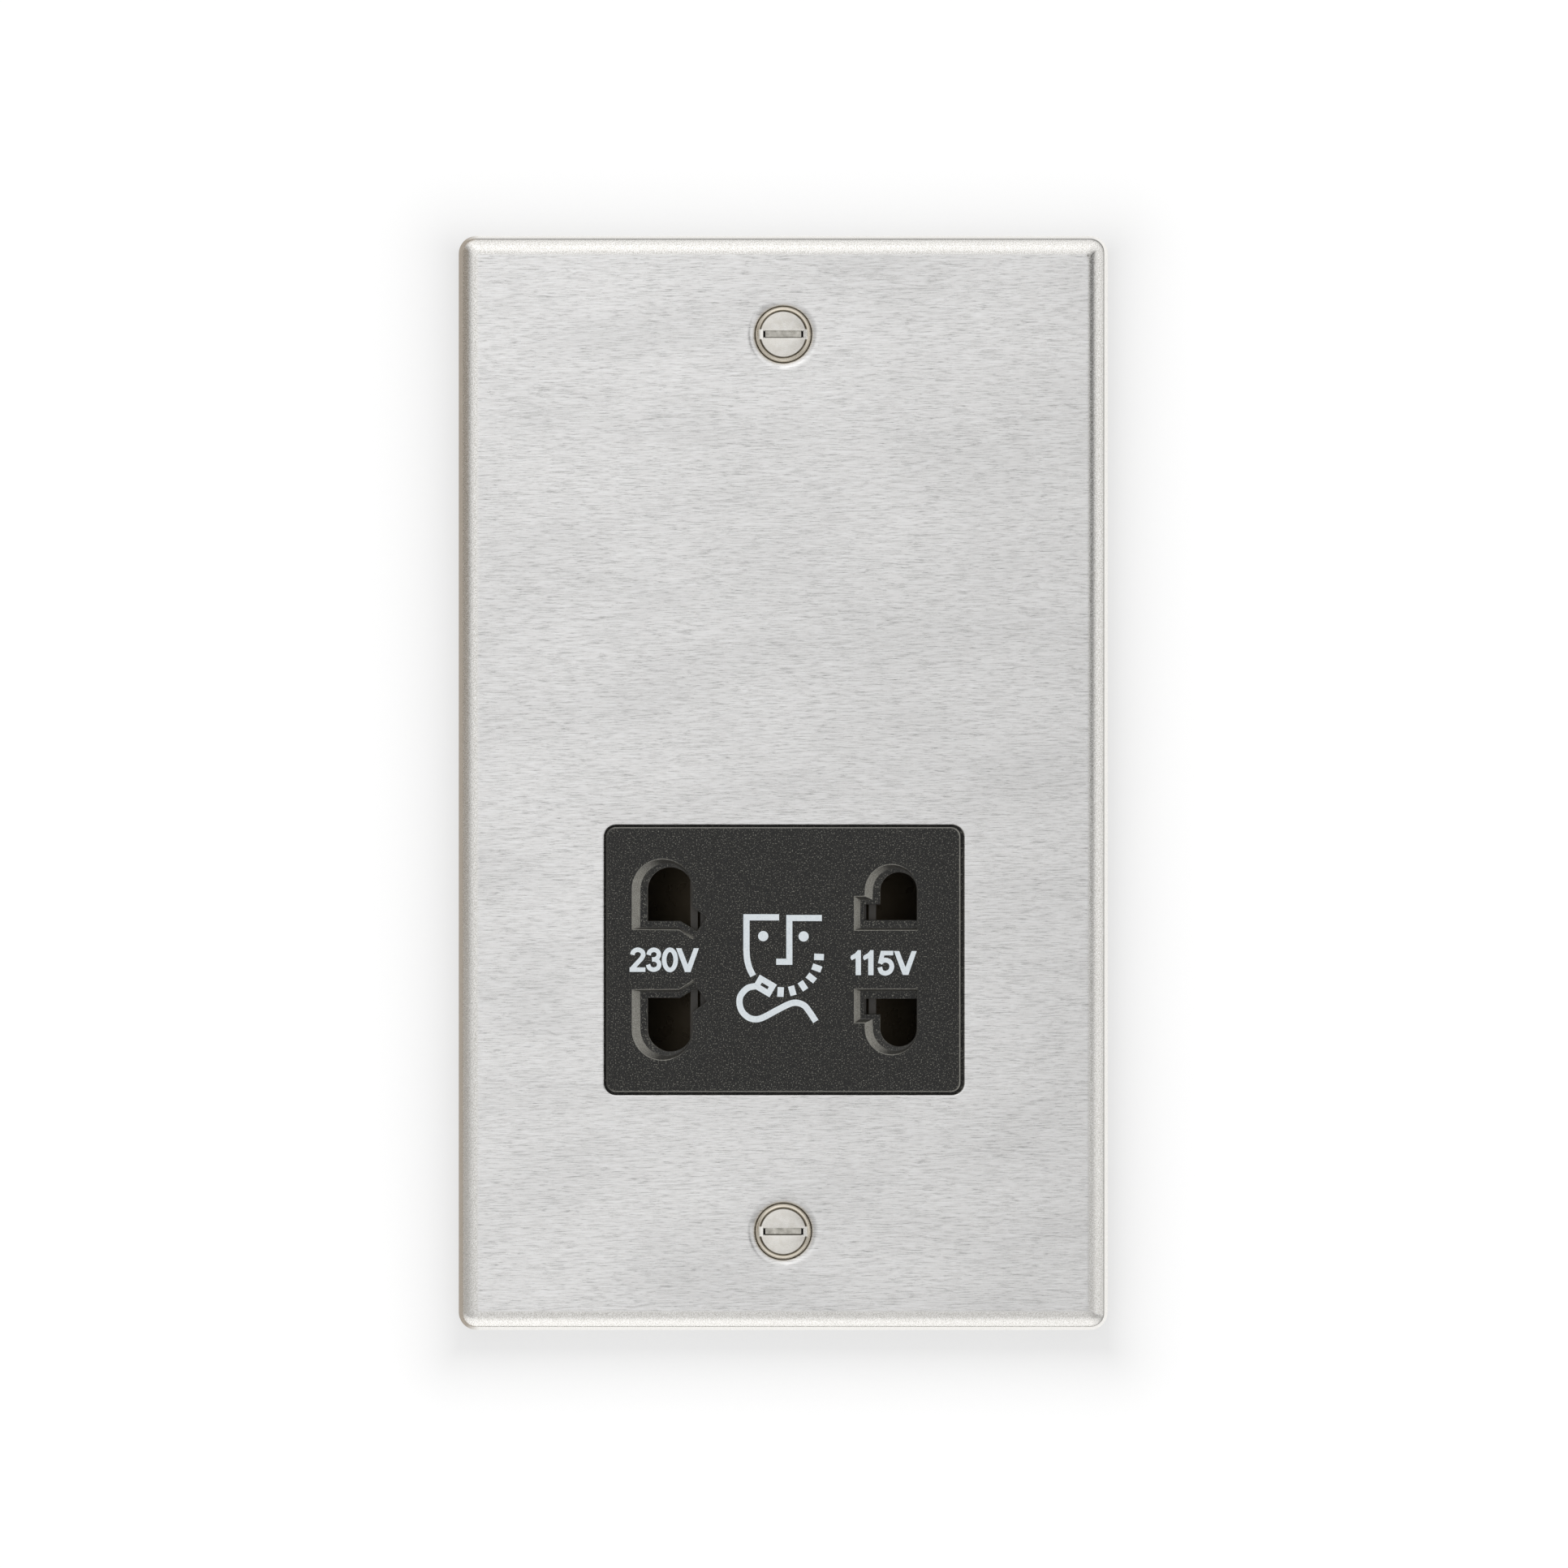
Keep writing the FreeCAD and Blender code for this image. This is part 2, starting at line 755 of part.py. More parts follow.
def contact_carrier():
    """The tray behind the face: a channel for the slider and four contact chambers."""
    body = new_body("contact_carrier")
    frame = boxed(carrier_width, carrier_height)
    slab(body, "XZ_Plane", face_back, floor_back, [frame])
    tower = boxed(d.tower_width, tower_height)
    slab(body, "XZ_Plane", floor_back, tower_back, [tower])
    channel_high = d.shutter_height / 2 + d.channel_clearance
    channel = rectangle(-channel_half, outlet_level - channel_high, channel_half, outlet_level + channel_high)
    recess(body, "XZ_Plane", face_back, floor_front, [channel])
    half_chamber = chamber_width / 2
    chambers = []
    for across in (-1, 1):
        for side in (-1, 1):
            near = outlet_level + d.chamber_inner * side
            far = near + d.chamber_height * side
            low, high = (near, far) if side > 0 else (far, near)
            middle = d.chamber_centre * across
            chambers.append(rectangle(middle - half_chamber, low, middle + half_chamber, high))
    recess(body, "XZ_Plane", floor_front, chamber_back, chambers)
    slots = []
    for across in (-1, 1):
        for side in (-1, 1):
            middle = d.chamber_centre * across
            level = contact_level(side)
            slots.append(rectangle(middle - d.tab_width / 2 - 0.2, level - d.contact_sheet / 2 - 0.2,
                                   middle + d.tab_width / 2 + 0.2, level + d.contact_sheet / 2 + 0.2))
    for low, high in (tail_box(-1), tail_box(1)):
        slots.append(rectangle(low[0] - 0.1, low[2] - 0.1, high[0] + 0.1, high[2] + 0.1))
    recess(body, "XZ_Plane", floor_front, tower_back, slots)
    holes = [(across, level, d.carrier_screw_radius + 0.3) for across, level in carrier_screw_places()]
    recess(body, "XZ_Plane", face_back, floor_back, holes)


def contact_level(side):
    return outlet_level + (d.chamber_inner + d.chamber_height / 2) * side


def pin_contact(name, across, side):
    """A folded bronze clip that grips a plug pin between two leaves."""
    body = new_body(name)
    middle = d.chamber_centre * across
    level = contact_level(side)
    mouth = floor_front + d.contact_sheet
    pinch = floor_front + d.chamber_depth * 0.3
    shoulder = floor_front + d.chamber_depth * 0.6
    base = chamber_back - d.contact_sheet
    clip = strip([
        (middle + d.contact_mouth, mouth),
        (middle + d.contact_pinch, pinch),
        (middle + d.contact_base, shoulder),
        (middle + d.contact_base, base),
        (middle - d.contact_base, base),
        (middle - d.contact_base, shoulder),
        (middle - d.contact_pinch, pinch),
        (middle - d.contact_mouth, mouth),
    ], d.contact_sheet)
    half = d.contact_width / 2
    slab(body, "XY_Plane", level - half, level + half, [clip])
    tab = rectangle(middle - d.tab_width / 2, level - d.contact_sheet / 2,
                    middle + d.tab_width / 2, level + d.contact_sheet / 2)
    slab(body, "XZ_Plane", chamber_back - d.contact_sheet / 2, chamber_back + d.tab_length, [tab])


def tail_box(side):
    """The corners of the tail of a switch strip, which goes back through the carrier."""
    outer = d.strip_half_length * side
    inner = outer - d.strip_width * side
    left, right = (inner, outer) if side > 0 else (outer, inner)
    level = outlet_level - d.wiper_row * side
    half = d.strip_sheet / 2
    return (left, strip_front, level - half), (right, strip_front + d.tail_length, level + half)


def switch_strips():
    """A rail that one wiper never leaves, and a fork that the other meets off centre."""
    half = d.strip_width / 2
    rail_level = outlet_level - d.wiper_row
    rail = block((-d.strip_half_length, strip_front, rail_level - half),
                 (d.strip_half_length, floor_front, rail_level + half))
    keep("switch_rail", fuse([rail, block(*tail_box(1))]))
    fork_level = outlet_level + d.wiper_row
    body = new_body("switch_fork")
    fork = [
        (-d.strip_half_length, fork_level - half),
        (-d.wiper_gap, fork_level - half),
        (-d.wiper_gap, fork_level + half),
        (d.wiper_gap, fork_level + half),
        (d.wiper_gap, fork_level - half),
        (d.strip_half_length, fork_level - half),
        (d.strip_half_length, fork_level + half + d.strip_width * 0.7),
        (-d.strip_half_length, fork_level + half + d.strip_width * 0.7),
    ]
    slab(body, "XZ_Plane", strip_front, floor_front, [fork])
    low, high = tail_box(-1)
    slab(body, "XZ_Plane", strip_front, high[1], [rectangle(low[0], low[2], high[0], high[2])])


def switch_bridge():
    """The sprung bridge on the back of the slider, with a wiper over each switch strip."""
    body = new_body("switch_bridge")
    seat = shutter_back - d.bridge_recess_depth + d.bridge_sheet
    touch = strip_front - d.wiper_clearance
    side = strip([
        (touch - 0.8, outlet_level - d.wiper_row - 0.8),
        (touch, outlet_level - d.wiper_row),
        (seat, outlet_level - d.wiper_row + 1.2),
        (seat, outlet_level + d.wiper_row - 1.2),
        (touch, outlet_level + d.wiper_row),
        (touch - 0.8, outlet_level + d.wiper_row + 0.8),
    ], -d.bridge_sheet)
    slab(body, "YZ_Plane", -d.bridge_width / 2, d.bridge_width / 2, [side])


def hexagon(place, across_flats, height):
    """A hexagonal block along Y, as for a nut or a screw head."""
    block_of_six = doc.addObject("Part::Prism", "Prism")
    block_of_six.Polygon = 6
    bind(block_of_six, "Circumradius", across_flats / math.sqrt(3))
    bind(block_of_six, "Height", height)
    return put(block_of_six, place, "Y")


def pan_screw(across, start, level, radius, length):
    """A plain pan-head screw whose shank runs forward from a head at the back of a piece."""
    shank = rod((across, start - length, level), "Y", radius, length)
    head = rod((across, start, level), "Y", d.small_head_radius, d.small_head_depth)
    return fuse([shank, head])


def carrier_screws():
    """The two screws that hold the carrier to the face."""
    screws = []
    for across, level in carrier_screw_places():
        screws.append(pan_screw(across, floor_back, level, d.pilot_radius, d.carrier_screw_length))
    keep("carrier_screws", group(screws))


# Transformer: a stack of E and I sheets round a bobbin with two windings side by side

def core_holes():
    """One hole low on the left, through the I sheets, and one high on the right."""
    inset = d.core_hole_inset * 2
    return opposite(core_half * 2 - inset, d.core_height - inset, core_middle)


def core_stacks():
    half = core_half
    leg = d.core_leg
    join = d.core_base + leg
    yoke = core_top - leg
    outline = [
        (-half, core_top),
        (-half, join),
        (-half + leg, join),
        (-half + leg, yoke),
        (-leg, yoke),
        (-leg, join),
        (leg, join),
        (leg, yoke),
        (half - leg, yoke),
        (half - leg, join),
        (half, join),
        (half, core_top),
    ]
    low_hole, high_hole = [(across, level, d.core_screw_radius + d.core_hole_play) for across, level in core_holes()]
    body = new_body("core_e_stack")
    slab(body, "XZ_Plane", d.core_front, core_back, [outline, high_hole])
    body = new_body("core_i_stack")
    slab(body, "XZ_Plane", d.core_front, core_back, [rectangle(-half, d.core_base, half, join), low_hole])


def ring(growth, corner=None):
    """An outline about the middle leg, grown by a distance, with square or cut corners."""
    half = d.core_leg + growth
    if corner is None:
        return rectangle(-half, d.core_front - growth, half, core_back + growth)
    return cut_cornered(-half, d.core_front - growth, half, core_back + growth, corner)


def windings():
    low = d.core_base + d.core_leg + d.bobbin_clearance
    high = core_top - d.core_leg - d.bobbin_clearance
    tube = d.bobbin_clearance + d.bobbin_wall
    reach = bobbin_reach - d.bobbin_clearance
    body = new_body("bobbin")
    slab(body, "XY_Plane", low, high, [ring(tube)])
    slab(body, "XY_Plane", low, low + d.bobbin_flange, [ring(reach)])
    slab(body, "XY_Plane", high - d.bobbin_flange, high, [ring(reach)])
    middle = (low + high) / 2
    half_split = d.winding_split / 2
    slab(body, "XY_Plane", middle - half_split, middle + half_split, [ring(reach)])
    recess(body, "XY_Plane", low, high, [ring(d.bobbin_clearance)])
    fill = reach - d.winding_margin
    corner = bobbin_reach / 2
    spans = {
        "primary_winding": (low + d.bobbin_flange, middle - half_split),
        "secondary_winding": (middle + half_split, high - d.bobbin_flange),
    }
    wraps = []
    for name, (start, end) in spans.items():
        body = new_body(name)
        slab(body, "XY_Plane", start, end, [ring(fill, corner), ring(tube)])
        wrap = doc.addObject("PartDesign::Body", name + "_wrap")
        slab(wrap, "XY_Plane", start, end, [ring(fill + d.tape_sheet, corner + d.tape_sheet),
                                            ring(fill, corner)])
        wraps.append(wrap)
    keep("winding_tape", group(wraps))
    tape_front = d.core_front - fill - d.tape_sheet
    start, end = spans["primary_winding"]
    level = (start + end) / 2
    half_width = d.cutout_width / 2
    half_height = d.cutout_height / 2
    body = new_body("thermal_cutout")
    slab(body, "XZ_Plane", tape_front - d.cutout_depth, tape_front,
         [rectangle(-half_width, level - half_height, half_width, level + half_height)])


def core_screws():
    """The two hexagonal screws that pass through the core into posts of the housing."""
    screws = []
    length = d.core_stack + d.post_radius * 2
    for across, level in core_holes():
        place = (across, d.core_front, level)
        shank = rod(place, "Y", d.core_screw_radius, length)
        head_place = (across, d.core_front - d.small_head_depth, level)
        head = hexagon(head_place, d.nut_across_flats, d.small_head_depth)
        screws.append(fuse([shank, head]))
    keep("core_screws", group(screws))


def rear_housing():
    """The moulded cover behind the plate, deep round the transformer and shallow below."""
    body = new_body("rear_housing")
    half_width = housing_half_width
    half_height = housing_half_height
    corner = d.housing_corner
    inner_corner = corner - d.housing_wall
    inner_width = half_width - d.housing_wall
    inner_height = half_height - d.housing_wall
    inner_step = housing_step + d.housing_wall
    slab(body, "XZ_Plane", sheet_back, shallow_back,
         [rounded(-half_width, -half_height, half_width, half_height, corner)])
    slab(body, "XZ_Plane", shallow_back, deep_back,
         [rounded(-half_width, housing_step, half_width, half_height, corner)])

    soften(body, "Chamfer", d.housing_wall / 2, lambda edge: at_depth(edge, deep_back))
    recess(body, "XZ_Plane", sheet_back, shallow_inner,
           [cut_cornered(-inner_width, -inner_height, inner_width, inner_height, inner_corner)])
    recess(body, "XZ_Plane", shallow_inner, deep_inner,
           [cut_cornered(-inner_width, inner_step, inner_width, inner_height, inner_corner)])
    for side in (-1, 1):
        start = (half_width - d.housing_wall / 2) * side
        tip = (half_width + ear_reach) * side
        left, right = (start, tip) if side > 0 else (tip, start)
        ear = cut_cornered(left, -d.ear_height / 2, right, d.ear_height / 2, d.ear_corner)
        slab(body, "XZ_Plane", sheet_back, ear_back, [ear])
    holes = [(across, level, stud_hole_radius) for across, level in stud_places()]
    recess(body, "XZ_Plane", sheet_back, ear_back, holes)
    for across, level in core_holes():
        slab(body, "XZ_Plane", core_back, deep_inner + d.housing_wall / 2, [(across, level, d.post_radius)])
    pilots = [(across, level, d.core_screw_radius) for across, level in core_holes()]
    recess(body, "XZ_Plane", core_back, core_back + d.post_radius * 2, pilots)
    for side, rear_wall in ((-1, shallow_inner), (1, deep_inner)):
        half_pad = d.pad_width / 2
        pad_level = contact_level(side)
        pad = rectangle(-half_pad, pad_level - half_pad, half_pad, pad_level + half_pad)
        slab(body, "XZ_Plane", tower_back, rear_wall + d.housing_wall / 2, [pad])
    vents(body)
    tails = []
    for low, high in terminal_tails():
        tails.append(rectangle(low[0] - 0.2, low[2] - 0.2, high[0] + 0.2, high[2] + 0.2))
    recess(body, "XZ_Plane", shallow_inner, shallow_back, tails)
    screws = [(across, block_screw_level(), d.pilot_radius) for across in block_screw_places()]
    recess(body, "XZ_Plane", shallow_inner, shallow_back, screws)


def vents(body):
    """Rows of slots in the back of the housing, behind the windings."""
    half_width = d.vent_width / 2
    half_length = d.vent_length / 2
    slots = []
    for place in (-2.5, -1.5, -0.5, 0.5, 1.5, 2.5):
        across = d.vent_pitch * place
        slots.append(rectangle(across - half_width, core_middle - half_length,
                               across + half_width, core_middle + half_length))
    recess(body, "XZ_Plane", deep_inner, deep_back, slots)


def stud_places():
    return [(-stud_reach, 0), (stud_reach, 0)]


def plate_fastenings():
    """Weld studs on the back of the plate, and the washers and nuts that hold the housing."""
    studs = []
    washers = []
    nuts = []
    for across, level in stud_places():
        studs.append(rod((across, sheet_back, level), "Y", d.stud_radius, d.stud_length))
        place = (across, ear_back, level)
        hole = rod(place, "Y", stud_hole_radius, d.washer_sheet)
        washers.append(cut(rod(place, "Y", washer_radius, d.washer_sheet), [hole]))
        nut_place = (across, ear_back + d.washer_sheet, level)
        bore = rod(nut_place, "Y", d.stud_radius, d.nut_depth)
        nuts.append(cut(hexagon(nut_place, d.nut_across_flats, d.nut_depth), [bore]))
    keep("plate_studs", group(studs))
    keep("stud_washers", group(washers))
    keep("stud_nuts", group(nuts))


# Mains terminals on the shallow part of the housing, wired from below

def terminal_places():
    return [d.terminal_pitch * place for place in (-1, 0, 1)]


def block_screw_places():
    return [(block_half - d.block_screw_inset) * side for side in (-1, 1)]


def block_screw_level():
    return block_base + block_height / 2


def clamp_corners(across):
    low = (across - d.clamp_width / 2, shallow_back + d.block_wall, block_base + d.block_wall)
    high = (across + d.clamp_width / 2, low[1] + d.clamp_depth, low[2] + d.clamp_height)
    return low, high


def terminal_tails():
    """The flat tail of each clamp, which goes forward into the housing."""
    tails = []
    for across in terminal_places():
        low, high = clamp_corners(across)
        level = high[2] - 1.0
        tails.append(((across - 1.5, shallow_inner - 3.0, level - 0.8), (across + 1.5, low[1], level)))
    return tails


def terminals():
    """The moulded block, its brass clamps with their tails, and the clamp screws."""
    body = new_body("terminal_block")
    back = shallow_back + block_depth
    slab(body, "XZ_Plane", shallow_back, back,
         [cut_cornered(-block_half, block_base, block_half, block_top, d.block_wall)])
    cavities = []
    accesses = []
    slots = []
    clamps = []
    screws = []
    gap = d.clamp_clearance
    for across, (tail_low, tail_high) in zip(terminal_places(), terminal_tails()):
        low, high = clamp_corners(across)
        cavities.append(rectangle(low[0] - gap, low[1] - gap, high[0] + gap, high[1] + gap))
        middle = (low[2] + high[2]) / 2
        accesses.append((across, middle, d.small_head_radius + 0.2))
        slots.append(rectangle(tail_low[0] - 0.2, tail_low[2] - 0.2, tail_high[0] + 0.2, tail_high[2] + 0.2))
        half_window = d.clamp_window / 2
        window_back = low[1] + d.clamp_wall + d.clamp_window
        window = block((across - half_window, low[1] + d.clamp_wall, low[2]),
                       (across + half_window, window_back, high[2]))
        thread = rod((across, window_back, middle), "Y", d.terminal_screw_radius, high[1] - window_back)
        tail = block(tail_low, (tail_high[0], tail_high[1] + d.clamp_wall / 2, tail_high[2]))
        clamps.append(cut(fuse([block(low, high), tail]), [window, thread]))
        screw_end = high[1] + d.terminal_screw_proud
        shank = rod((across, window_back, middle), "Y", d.terminal_screw_radius, screw_end - window_back)
        slot = block((across - d.terminal_screw_radius, high[1], middle - 0.3),
                     (across + d.terminal_screw_radius, screw_end, middle + 0.3))
        screws.append(cut(shank, [slot]))
    recess(body, "XY_Plane", block_base, block_top - d.block_wall * 2, cavities)
    recess(body, "XZ_Plane", back - block_depth / 2, back, accesses)
    recess(body, "XZ_Plane", shallow_back, shallow_back + d.block_wall, slots)
    holes = [(across, block_screw_level(), d.pilot_radius + 0.3) for across in block_screw_places()]
    recess(body, "XZ_Plane", shallow_back, back, holes)
    keep("terminal_clamps", group(clamps))
    keep("terminal_screws", group(screws))
    fixings = []
    for across in block_screw_places():
        length = block_depth + d.housing_wall
        fixings.append(pan_screw(across, back, block_screw_level(), d.pilot_radius, length))
    keep("block_screws", group(fixings))


def earth_connection():
    """A bent tab on the back of the plate with the screw for the earth wire."""
    body = new_body("earth_tab")
    rise = sheet_back + d.earth_rise
    side = strip([
        (earth_place + d.earth_foot, sheet_back + d.earth_sheet),
        (earth_place + d.earth_sheet, sheet_back + d.earth_sheet),
        (earth_place + d.earth_sheet, rise),
    ], -d.earth_sheet)
    half = d.earth_width / 2
    slab(body, "XY_Plane", d.earth_level - half, d.earth_level + half, [side])
    screw_depth = rise - d.earth_width / 3
    recess(body, "YZ_Plane", earth_place, earth_place + d.earth_sheet,
           [(screw_depth, d.earth_level, d.screw_radius)])
    start = earth_place + d.earth_sheet
    end = start - d.earth_foot / 2
    shank = rod((end, screw_depth, d.earth_level), "X", d.screw_radius, start - end)
    head = rod((start, screw_depth, d.earth_level), "X", d.head_radius - 0.5, d.small_head_depth)
    keep("earth_screw", fuse([shank, head]))


front_plate()
fixing_screw("fixing_screw_upper", 1)
fixing_screw("fixing_screw_lower", -1)
socket_face()
shutter_slide()
centring_springs()
contact_carrier()
for voltage, across in (("230", -1), ("115", 1)):
    for position, side in (("upper", 1), ("lower", -1)):
        pin_contact("contact_%s_%s" % (voltage, position), across, side)
switch_strips()
switch_bridge()
carrier_screws()
core_stacks()
windings()
core_screws()
rear_housing()
plate_fastenings()
terminals()
earth_connection()
doc.recompute()

failed = [item.Label for item in doc.Objects if "Invalid" in item.State or "Error" in item.State]
for name, item in nodes.items():
    if item.Shape.isNull() or not item.Shape.isValid() or not item.Shape.Solids:
        failed.append(name)
if failed:
    raise RuntimeError("These pieces failed: " + ", ".join(sorted(set(failed))))

os.makedirs("parts", exist_ok=True)
for name, item in nodes.items():
    item.Shape.exportStep("parts/%s.step" % name)
    print("%-24s %2d solids %9.1f mm3" % (name, len(item.Shape.Solids), item.Shape.Volume))
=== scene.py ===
import math

import bmesh
import bpy
from mathutils import Matrix, Vector


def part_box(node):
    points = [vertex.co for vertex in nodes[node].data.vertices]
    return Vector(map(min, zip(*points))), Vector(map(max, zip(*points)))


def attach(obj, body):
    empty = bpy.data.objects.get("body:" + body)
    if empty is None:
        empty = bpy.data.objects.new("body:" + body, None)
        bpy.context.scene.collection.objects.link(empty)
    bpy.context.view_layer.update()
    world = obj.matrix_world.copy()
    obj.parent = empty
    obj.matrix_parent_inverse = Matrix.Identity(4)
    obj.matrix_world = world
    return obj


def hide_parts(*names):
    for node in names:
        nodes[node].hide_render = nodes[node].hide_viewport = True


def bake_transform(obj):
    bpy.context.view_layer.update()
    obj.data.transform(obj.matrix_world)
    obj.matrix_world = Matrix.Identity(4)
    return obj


# A shaver supply unit on a brushed steel plate, seen square on, as it hangs on a wall.
# Metres, with lengths written in millimetres and turned by MM. The plate faces -Y.

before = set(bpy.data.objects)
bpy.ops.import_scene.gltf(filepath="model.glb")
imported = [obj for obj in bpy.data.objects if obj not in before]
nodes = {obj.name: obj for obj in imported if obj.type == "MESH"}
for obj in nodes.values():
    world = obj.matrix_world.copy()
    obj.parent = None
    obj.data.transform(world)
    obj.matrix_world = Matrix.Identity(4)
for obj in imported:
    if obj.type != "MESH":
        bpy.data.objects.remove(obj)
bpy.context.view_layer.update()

MM = 0.001
PLATE_LOW, PLATE_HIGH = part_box("front_plate")
FACE_LOW, FACE_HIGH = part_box("socket_face")
SLIDE_LOW, SLIDE_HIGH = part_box("shutter_slide")
PLATE_FRONT = PLATE_LOW.y
FACE_FRONT = FACE_LOW.y
OUTLET_LEVEL = -23.75
FIXING_REACH = (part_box("fixing_screw_upper")[0].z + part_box("fixing_screw_upper")[1].z) / 2
SLOT_REACH = 2.5


# Colour and node helpers

def linear(code, level=1.0):
    """Turns an sRGB hex colour to linear light, at a share of its brightness."""
    parts = [int(code[place:place + 2], 16) / 255 for place in (1, 3, 5)]
    light = [part / 12.92 if part <= 0.04045 else ((part + 0.055) / 1.055) ** 2.4 for part in parts]
    return [part * level for part in light] + [1.0]


def add(tree, kind, settings=None, links=None):
    """Adds a shader node, sets its options and inputs, and links its inputs to outputs."""
    node = tree.nodes.new("ShaderNode" + kind)
    for name, value in (settings or {}).items():
        if isinstance(name, str) and name.islower():
            setattr(node, name, value)
        else:
            node.inputs[name].default_value = value
    for name, output in (links or {}).items():
        tree.links.new(output, node.inputs[name])
    return node


def new_material(name, colour, roughness, metallic=0.0, ior=None, coat=0.0):
    """A material whose shader has its constants set. Patterns are linked to it later."""
    material = bpy.data.materials.new(name)
    material.use_nodes = True
    shader = material.node_tree.nodes["Principled BSDF"]
    shader.inputs["Base Color"].default_value = linear(colour)
    shader.inputs["Roughness"].default_value = roughness
    shader.inputs["Metallic"].default_value = metallic
    if ior:
        shader.inputs["IOR"].default_value = ior
    if coat:
        shader.inputs["Coat Weight"].default_value = coat
        shader.inputs["Coat Roughness"].default_value = 0.1
    return material, material.node_tree, shader


def placed(tree, size, turn=(0.0, 0.0, 0.0)):
    """Object coordinates counted in grains of a size in millimetres along X, Y and Z."""
    coordinates = add(tree, "TexCoord")
    scale = [1000.0 / length for length in size]
    mapping = add(tree, "Mapping", {"vector_type": "POINT", "Scale": scale, "Rotation": turn},
                  {"Vector": coordinates.outputs["Object"]})
    return mapping.outputs["Vector"]


def noise(tree, size, detail=2.0, roughness=0.5):
    """A noise pattern whose grains have a size in millimetres along X, Y and Z."""
    return add(tree, "TexNoise", {"Scale": 1.0, "Detail": detail, "Roughness": roughness},
               {"Vector": placed(tree, size)}).outputs["Fac"]


def ramp(tree, factor, stops):
    """A colour ramp with stops of place and colour."""
    node = add(tree, "ValToRGB", {}, {"Fac": factor})
    marks = node.color_ramp.elements
    while len(marks) < len(stops):
        marks.new(0.5)
    for mark, (place, colour) in zip(marks, stops):
        mark.position = place
        if isinstance(colour, str):
            mark.color = linear(colour)
        elif isinstance(colour, tuple):
            mark.color = [*colour, 1.0]
        else:
            mark.color = [colour, colour, colour, 1.0]
    return node.outputs["Color"]


def span(tree, value, low, high, start=0.0, end=1.0):
    """Turns values between low and high to values between start and end."""
    return add(tree, "MapRange", {"From Min": low, "From Max": high, "To Min": start, "To Max": end},
               {"Value": value}).outputs["Result"]


def mixed(tree, factor, first, second, blend="MIX"):
    """Mixes two colours, each an output or a hex code, by a factor."""
    node = add(tree, "Mix", {"data_type": "RGBA", "blend_type": blend})
    if isinstance(factor, float):
        node.inputs[0].default_value = factor
    else:
        tree.links.new(factor, node.inputs[0])
    for place, colour in ((6, first), (7, second)):
        if isinstance(colour, str):
            node.inputs[place].default_value = linear(colour)
        else:
            tree.links.new(colour, node.inputs[place])
    return node.outputs[2]


def bumped(tree, shader, height, depth, strength=1.0, under=None):
    """Gives a shader a bump of a depth in millimetres."""
    bump = add(tree, "Bump", {"Distance": depth * MM, "Strength": strength}, {"Height": height})
    if under:
        tree.links.new(under.outputs["Normal"], bump.inputs["Normal"])
    tree.links.new(bump.outputs["Normal"], shader.inputs["Normal"])
    return bump


# Finishes

